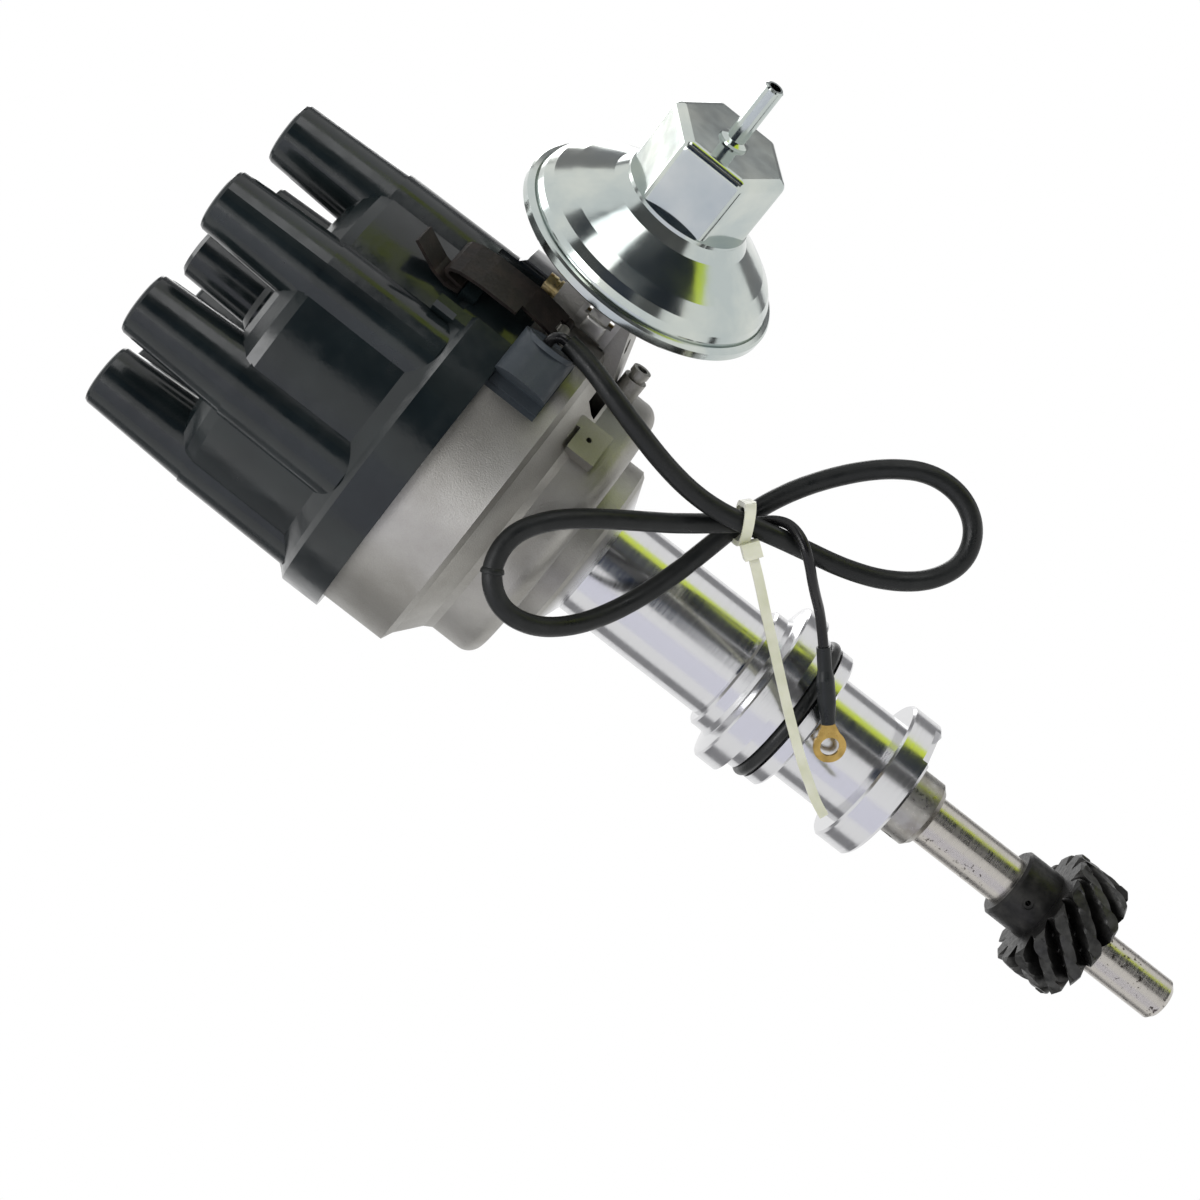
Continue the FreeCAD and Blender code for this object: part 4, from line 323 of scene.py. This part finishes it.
# Cable tie.
# A moulded tie of cream nylon, which lets a little light into itself. It gathers three strands of the
# lead, and its long tail has been left on.
nylon_cream = (0.70, 0.70, 0.58)
nylon_yellowed = (0.6, 0.61, 0.46)
light_depth = Vector((2.0, 2.0, 1.4)) * millimetre
nylon = Finish("tie_nylon", (0.6, 0.6, 0.46), 0.34)
nylon.inputs["Subsurface Weight"].default_value = 0.3
nylon.inputs["Subsurface Radius"].default_value = light_depth
nylon.paint(nylon.share(nylon.grain(size=6.0), low=0.35, high=0.7), nylon_cream, nylon_yellowed)
nylon.emboss(nylon.grain(size=1.0), depth=0.04)
dress(nylon, "cable_tie")
soften(0.25, "cable_tie")


# Housing.
# An aluminium casting. The bowl and neck keep their bead-blasted skin, while the stem, its flange and
# its lands are turned bright, with fine rings left by the tool.
def worked_out(tree, operation, first, second):
    """The result of a sum on two values of a node tree."""
    node = tree.nodes.new("ShaderNodeMath")
    node.operation = operation
    tree.links.new(first, node.inputs[0])
    tree.links.new(second, node.inputs[1])
    return node.outputs["Value"]


cast_grey = (0.44, 0.43, 0.405)
cast_stain = (0.31, 0.30, 0.275)
turned_bright = (0.64, 0.64, 0.65)
blasted_above = 59.2 * millimetre
turned_below = 56.6 * millimetre
cast = Finish("cast_aluminium", (0.44, 0.43, 0.41), 0.4, metallic=1.0)
height = cast.tree.nodes.new("ShaderNodeSeparateXYZ")
cast.join(cast.place, height.inputs["Vector"])
turned_share = cast.share(height.outputs["Z"], low=blasted_above, high=turned_below)
blasted_share = cast.share(turned_share, low=0.0, high=1.0, least=1.0, most=0.0)
patches = cast.share(cast.grain(size=20.0), low=0.35, high=0.7)
cast.paint(turned_share, cast.between(patches, cast_stain, cast_grey), turned_bright)
speckle = cast.grain(size=0.4, detail=2.0)
rings = cast.grain(size=0.4, detail=2.0, stretch=(60.0, 60.0, 1.0))
blasted_roughness = cast.share(speckle, low=0.3, high=0.7, least=0.4, most=0.55)
turned_roughness = cast.share(rings, low=0.3, high=0.7, least=0.15, most=0.24)
roughness = cast.between(turned_share, blasted_roughness, turned_roughness, kind="FLOAT")
cast.join(roughness, cast.inputs["Roughness"])
cast.emboss(worked_out(cast.tree, "MULTIPLY", speckle, blasted_share), depth=0.07)
cast.emboss(rings, depth=0.006)
dress(cast, "housing", "oil_tube")
soften(0.2, "housing")

# O-ring, grommet and diaphragm.
# Moulded black rubber. The ring sits in its groove on the pilot, and the grommet is a harder, bluish grey
# block pushed down into the bowl's wall.
seal_black = (0.012, 0.013, 0.013)
seal_dust = (0.03, 0.03, 0.03)
grommet_grey = (0.032, 0.040, 0.048)
grommet_dust = (0.06, 0.068, 0.075)
dress(rubber("seal_rubber", seal_black, seal_dust, 0.3), "o_ring", "diaphragm")
grommet_rubber = rubber("grommet_rubber", grommet_grey, grommet_dust, 0.5)
dress(grommet_rubber, "grommet")
soften(0.4, "grommet")

# Grommet cup.
# The raised lip round the hole that the lead's wire comes out of. It is moulded in one with the grommet's
# nose, and makes a shallow cup of its end.
cup_radius = 6.3
cup_height = 1.5
cup_depth = 1.2
cup_wall = 1.1
cup_rounding = 0.35
cup_sunk = 0.6
cup_way = Vector((0.978, -0.209, 0.0))
nose_end = Vector((31.6, -44.8, 97.3))
cup_middle = nose_end + cup_way * (cup_height / 2 - cup_sunk)
bpy.ops.object.select_all(action="DESELECT")
bpy.ops.mesh.primitive_cylinder_add(vertices=64, radius=cup_radius * millimetre,
                                    depth=cup_height * millimetre, location=cup_middle * millimetre,
                                    rotation=facing(cup_way))
cup = bpy.context.object
cup.name = "grommet_cup"
edit(cup, "FACE", lambda face: face.normal.z > 0.9)
bpy.ops.mesh.inset(thickness=cup_wall * millimetre)
bpy.ops.transform.translate(value=cup_way * (-cup_depth * millimetre))
bpy.ops.object.mode_set(mode="OBJECT")
rim_height = near_end * cup_height * millimetre
edit(cup, "EDGE", lambda edge: min(end_heights(cup, edge)) > rim_height)
bpy.ops.mesh.bevel(offset=cup_rounding * millimetre, segments=3)
bpy.ops.object.mode_set(mode="OBJECT")
finished(cup, grommet_rubber.material)

# Bushes.
# Two plain bearings of sintered bronze, soaked in oil. They are pressed into the two ends of the stem,
# and the shaft turns in them.
bronze_brown = (0.5, 0.34, 0.16)
bronze_stain = (0.3, 0.2, 0.1)
dress(brass("bush_bronze", bronze_brown, bronze_stain), "upper_bush", "lower_bush")

# Shaft.
# Hardened steel, ground bright. Flecks of old rust have left dark pits, which stand closer together in
# some stretches than in others.
ground_bright = (0.5, 0.475, 0.44)
pit_brown = (0.05, 0.04, 0.034)
ground = Finish("ground_steel", (0.5, 0.48, 0.46), 0.2, metallic=1.0)
rusty = ground.share(ground.grain(size=16.0, detail=1.0), low=0.4, high=0.62, most=0.14)
flecks = worked_out(ground.tree, "ADD", ground.grain(size=1.1, detail=3.0), rusty)
ground.paint(ground.share(flecks, low=0.73, high=0.8, most=0.9), ground_bright, pit_brown)
grinding_marks = ground.grain(size=0.5, detail=2.0, stretch=(40.0, 40.0, 1.0))
ground.polish(grinding_marks, smooth=0.22, rough=0.34)
ground.emboss(grinding_marks, depth=0.008)
dress(ground, "shaft")

# Drive gear and roll pins.
# Steel, blackened in oil, with the tops of the helical teeth rubbed a little brighter than their roots.
# The pins are driven through the hubs of the gear and the collar.
soot_black = (0.012, 0.012, 0.012)
soot_grey = (0.034, 0.033, 0.031)
rubbed_grey = (0.05, 0.05, 0.048)
rubbed_from = 15.5 * millimetre
rubbed_full = 16.8 * millimetre
black_oxide = Finish("black_oxide", (0.02, 0.02, 0.019), 0.4, metallic=0.7)
soot = black_oxide.share(black_oxide.grain(size=4.0), low=0.35, high=0.7)
coat = black_oxide.between(soot, soot_black, soot_grey)
mill = black_oxide.grain(size=0.9, detail=3.0)
black_oxide.polish(mill, smooth=0.28, rough=0.5)
black_oxide.emboss(mill, depth=0.03)
sides = black_oxide.tree.nodes.new("ShaderNodeSeparateXYZ")
black_oxide.join(black_oxide.place, sides.inputs["Vector"])
outward = black_oxide.tree.nodes.new("ShaderNodeCombineXYZ")
black_oxide.join(sides.outputs["X"], outward.inputs["X"])
black_oxide.join(sides.outputs["Y"], outward.inputs["Y"])
radius = black_oxide.tree.nodes.new("ShaderNodeVectorMath")
radius.operation = "LENGTH"
black_oxide.join(outward.outputs["Vector"], radius.inputs[0])
tips = black_oxide.share(radius.outputs["Value"], low=rubbed_from, high=rubbed_full)
wear = black_oxide.share(black_oxide.grain(size=2.2), low=0.35, high=0.65, least=0.2)
black_oxide.paint(worked_out(black_oxide.tree, "MULTIPLY", tips, wear), coat, rubbed_grey)
dress(black_oxide, "drive_gear", "gear_pin", "collar_pin")

# Washer, weights, cam and springs.
# Plain steel parts inside the bowl, stamped, turned or wound, with a thin film of oil on them. The collar
# is pinned on the shaft below the stem.
steel_pale = (0.38, 0.37, 0.35)
steel_oiled = (0.24, 0.22, 0.19)
plain = Finish("plain_steel", (0.36, 0.35, 0.33), 0.34, metallic=1.0)
plain.paint(plain.share(plain.grain(size=6.0), low=0.4, high=0.7), steel_pale, steel_oiled)
plain.polish(plain.grain(size=1.0), smooth=0.24, rough=0.46)
dress(plain, "thrust_collar", "thrust_washer", "weight_plate", "weight_pivots", "weight_a", "weight_b",
      "advance_springs", "cam_sleeve", "sleeve_retainer", "vacuum_rod", "vacuum_spring", "brush_spring",
      "clip_pins", "pivot_post")

# Spring clips.
# Bent from spring steel strip, with a brown-black phosphate coat, and hooked over the cap's ledges. Each
# swings on its own pin.
phosphate_black = (0.009, 0.007, 0.006)
phosphate_brown = (0.02, 0.014, 0.011)
phosphate = Finish("phosphated_steel", (0.012, 0.009, 0.008), 0.42)
phosphate.inputs["Specular IOR Level"].default_value = 0.22
rust = phosphate.share(phosphate.grain(size=3.5), low=0.45, high=0.75)
phosphate.paint(rust, phosphate_black, phosphate_brown)
coat_grain = phosphate.grain(size=0.7, detail=3.0)
phosphate.polish(coat_grain, smooth=0.36, rough=0.6)
phosphate.emboss(coat_grain, depth=0.03)
dress(phosphate, "front_clip", "rear_clip")
soften(0.25, "front_clip", "rear_clip")

# Cap and rotor.
# Glossy thermoset mouldings, blue-black, with a grey haze of dust and handling on them. The clips hold the
# cap on the bowl's rim, and the rotor is pushed on the cam sleeve.
moulding_black = (0.005, 0.008, 0.009)
moulding_haze = (0.016, 0.023, 0.024)
moulding = Finish("cap_moulding", (0.006, 0.009, 0.010), 0.2)
moulding.inputs["Specular IOR Level"].default_value = 0.46
haze = moulding.share(moulding.grain(size=18.0), low=0.4, high=0.75, most=0.6)
moulding.paint(haze, moulding_black, moulding_haze)
moulding.polish(moulding.grain(size=5.0), smooth=0.12, rough=0.28, high=0.75)
moulding.emboss(moulding.grain(size=1.6), depth=0.02)
dress(moulding, "cap", "rotor")
soften(0.3, "cap")

# Vacuum unit.
# Two steel pressings, crimped together and bright zinc plated. The plating is greenish grey, with
# faint lighter clouds.
zinc_green = (0.46, 0.51, 0.5)
zinc_cloud = (0.6, 0.63, 0.58)
zinc = Finish("bright_zinc", (0.5, 0.54, 0.52), 0.2, metallic=1.0)
zinc.paint(zinc.share(zinc.grain(size=14.0), low=0.35, high=0.72), zinc_green, zinc_cloud)
zinc.polish(zinc.grain(size=6.0), smooth=0.1, rough=0.17)
zinc.emboss(zinc.grain(size=9.0, detail=2.0), depth=0.04)
dress(zinc, "vacuum_front_shell", "vacuum_back_shell", "vacuum_nipple")
soften(0.25, "vacuum_front_shell")

# Vacuum spring.
# A coil of round steel wire between the diaphragm's plate and the hexagon's end.
rod_azimuth = math.radians(-36.5)
rod_offset = 26.2
rod_height = 93.3
rod_way = Vector((math.cos(rod_azimuth), math.sin(rod_azimuth), 0.0))
rod_side = Vector((math.sin(rod_azimuth), -math.cos(rod_azimuth), 0.0))
rod_middle = rod_side * -rod_offset + Vector((0, 0, rod_height))
coil_radius = 9.6
coil_wire = 1.5
coil_start = 66.5
coil_end = 96.3
coil_turns = 7
turn_points = 12
coil_points = coil_turns * turn_points
helix = []
for step in range(coil_points + 1):
    angle = math.tau * step / turn_points
    along = coil_start + (coil_end - coil_start) * step / coil_points
    swing = rod_side * (coil_radius * math.cos(angle)) + Vector((0, 0, coil_radius * math.sin(angle)))
    helix.append(tuple(rod_way * along + rod_middle + swing))
coil = cord_line("vacuum_coil", helix, coil_wire, steps=3)
pick(coil)
bpy.ops.object.convert(target="MESH")
coil = bpy.context.object
finished(coil, plain.material)
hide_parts("vacuum_spring")
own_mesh(coil)

# Bracket and plates.
# Pressed steel with a dull zinc coat. The bracket carries the vacuum unit on the bowl, and the plates and
# the condenser are screwed down inside it.
dull_grey = (0.46, 0.45, 0.43)
dull_film = (0.6, 0.59, 0.56)
dull_zinc = Finish("dull_zinc", (0.5, 0.49, 0.47), 0.42, metallic=1.0)
dull_zinc.paint(dull_zinc.share(dull_zinc.grain(size=5.0), low=0.35, high=0.7), dull_grey, dull_film)
dull_zinc.polish(dull_zinc.grain(size=1.2), smooth=0.34, rough=0.54)
dress(dull_zinc, "vacuum_bracket", "base_plate", "breaker_plate", "plate_screws", "contact_support",
      "breaker_arm", "condenser")
soften(0.25, "vacuum_bracket")

# Bracket tab.
# A tongue lanced out of the bracket's near face and pressed back over the pad, so that it stands a little
# proud of the steel round it.
tab_size = Vector((4.6, 1.2, 5.6))
tab_along = 52.6
tab_sunk = 0.4
tab_level = 92.4
tab_border = 0.5
tab_proud = 0.4
tab_rounding = 0.2
tab_middle = rod_way * tab_along - rod_side * tab_sunk + Vector((0, 0, tab_level))
bpy.ops.object.select_all(action="DESELECT")
bpy.ops.mesh.primitive_cube_add(size=1.0, rotation=(0, 0, rod_azimuth), scale=tab_size * millimetre,
                                location=tab_middle * millimetre)
tab = bpy.context.object
tab.name = "bracket_tab"
bpy.ops.object.transform_apply(location=False, rotation=False, scale=True)
edit(tab, "FACE", lambda face: face.normal.y < -0.9)
bpy.ops.mesh.inset(thickness=tab_border * millimetre)
bpy.ops.transform.translate(value=rod_side * (tab_proud * millimetre))
bpy.ops.mesh.select_all(action="SELECT")
bpy.ops.mesh.bevel(offset=tab_rounding * millimetre, segments=2)
bpy.ops.object.mode_set(mode="OBJECT")
finished(tab, dull_zinc.material)

# Bracket screws.
# Steel screws with two washers, passivated yellow. They hold the bracket of the vacuum unit on the side of
# the bowl.
passivate_yellow = (0.58, 0.45, 0.2)
passivate_worn = (0.42, 0.35, 0.24)
dress(brass("yellow_passivate", passivate_yellow, passivate_worn), "bracket_screws")

# Electrical path.
# Brass inserts moulded into the cap, a brass tip on the rotor and a carbon brush pressed down by its
# spring, with an oiled felt wick in the shaft's top.
contact_yellow = (0.7, 0.54, 0.26)
contact_stain = (0.5, 0.38, 0.2)
carbon_black = (0.03, 0.03, 0.03)
carbon_dust = (0.06, 0.06, 0.06)
felt_brown = (0.35, 0.31, 0.24)
felt_pale = (0.45, 0.42, 0.36)
dress(brass("contact_brass", contact_yellow, contact_stain), "plug_terminals", "coil_terminal", "rotor_blade")
dress(rubber("brush_carbon", carbon_black, carbon_dust), "carbon_brush")
dress(rubber("wick_felt", felt_brown, felt_pale, 0.7), "felt_wick")


# Floor.
# A pale, matt floor, so far below the object that the polished stem reflects the cards beside it and not
# the floor. It looks plain white from the camera and in reflections.
def white_to_view(tree, other, output):
    """Shows plain white to the camera and in reflections, and another shader to the rest of the light."""
    path = tree.nodes.new("ShaderNodeLightPath").outputs
    seen = worked_out(tree, "MAXIMUM", path["Is Camera Ray"], path["Is Glossy Ray"])
    seen = worked_out(tree, "MAXIMUM", seen, path["Is Transmission Ray"])
    white = tree.nodes.new("ShaderNodeBackground" if output.type == "OUTPUT_WORLD" else "ShaderNodeEmission")
    white.inputs["Color"].default_value = (1.0, 1.0, 1.0, 1.0)
    white.inputs["Strength"].default_value = 1.0
    mix = tree.nodes.new("ShaderNodeMixShader")
    tree.links.new(seen, mix.inputs["Fac"])
    tree.links.new(other, mix.inputs[1])
    tree.links.new(white.outputs[0], mix.inputs[2])
    tree.links.new(mix.outputs[0], output.inputs["Surface"])


floor_level = -0.95
floor_size = 8.0
floor_grey = (0.8, 0.8, 0.8, 1.0)
bpy.ops.object.select_all(action="DESELECT")
bpy.ops.mesh.primitive_plane_add(size=floor_size, location=(0, 0, floor_level))
floor = bpy.context.object
floor.name = "floor"
pale = bpy.data.materials.new("pale_floor")
pale.use_nodes = True
matt = pale.node_tree.nodes["Principled BSDF"]
matt.inputs["Base Color"].default_value = floor_grey
matt.inputs["Roughness"].default_value = 0.9
white_to_view(pale.node_tree, matt.outputs[0], pale.node_tree.nodes["Material Output"])
floor.data.materials.append(pale)

# Surround.
# A white studio all round, which gives the object its even light. Like the floor, it is plain white to
# the camera.
surround_strength = 0.6
world = bpy.data.worlds.new("studio")
bpy.context.scene.world = world
world.use_nodes = True
surround = world.node_tree.nodes["Background"]
surround.inputs["Color"].default_value = (1.0, 1.0, 1.0, 1.0)
surround.inputs["Strength"].default_value = surround_strength
white_to_view(world.node_tree, surround.outputs[0], world.node_tree.nodes["World Output"])


# Cards.
# Upright cards round the object, out of the camera's sight. Dark ones give the polished metal its bands,
# and a yellow-green and a lilac one give it their colours.
card_foot = floor_level + 0.02


def card(name, azimuth, width, colour, foot=card_foot, top=1.6, distance=1.6, strength=0.0):
    """A card that only reflections show. Azimuth 0 is towards the camera."""
    bpy.ops.object.select_all(action="DESELECT")
    bpy.ops.mesh.primitive_plane_add(size=1.0)
    piece = bpy.context.object
    piece.name = name
    angle = math.radians(azimuth)
    piece.location = (distance * math.sin(angle), -distance * math.cos(angle), (foot + top) / 2)
    piece.rotation_euler = (math.pi / 2, 0, angle)
    piece.scale = (width, top - foot, 1.0)
    material = bpy.data.materials.new(name)
    material.use_nodes = True
    shader = material.node_tree.nodes["Principled BSDF"]
    shader.inputs["Base Color"].default_value = (*colour, 1.0)
    shader.inputs["Roughness"].default_value = 0.9
    shader.inputs["Emission Color"].default_value = (*colour, 1.0)
    shader.inputs["Emission Strength"].default_value = strength
    piece.data.materials.append(material)
    piece.visible_camera = False
    piece.visible_shadow = False
    piece.visible_diffuse = False


far_grey = (0.3, 0.3, 0.31)
card("grey_card_right", azimuth=22.0, width=0.62, colour=(0.09, 0.09, 0.09))
card("dark_card_right", azimuth=50.0, width=0.86, colour=(0.014, 0.02, 0.03))
card("green_card", azimuth=71.5, width=0.38, colour=(0.42, 0.5, 0.04), top=0.4, distance=1.55, strength=1.0)
card("observer_card", azimuth=3.0, width=0.3, colour=(0.008, 0.02, 0.05), foot=-0.06, top=0.62, distance=0.74)
card("lilac_card", azimuth=-50.0, width=1.2, colour=(0.5, 0.5, 0.56), strength=0.9)
card("dark_card_far_left", azimuth=-118.0, width=0.9, colour=far_grey, distance=1.7)
card("dark_card_far_right", azimuth=128.0, width=0.9, colour=far_grey, distance=1.7)


# Lamps.
# Four soft lamps, all turned to the middle of the object. The key light stands to the left of the camera,
# and the others fill in from the right, from above and from behind.
def soft_light(name, place, size, power):
    """A square area lamp."""
    bpy.ops.object.select_all(action="DESELECT")
    bpy.ops.object.light_add(type="AREA", location=place)
    lamp = bpy.context.object
    lamp.name = name
    lamp.data.size = size
    lamp.data.energy = power
    lamp.rotation_euler = (lit_middle - Vector(place)).to_track_quat("-Z", "Y").to_euler()


lit_middle = Vector((0.0, 0.0, 0.06))
soft_light("key_light", (-0.9, -1.3, 1.1), size=0.9, power=15.0)
soft_light("fill_light", (1.2, -1.0, 0.5), size=0.8, power=5.0)
soft_light("top_light", (0.1, 0.5, 1.5), size=0.9, power=8.0)
soft_light("back_light", (0.6, 1.5, 0.7), size=0.8, power=5.0)
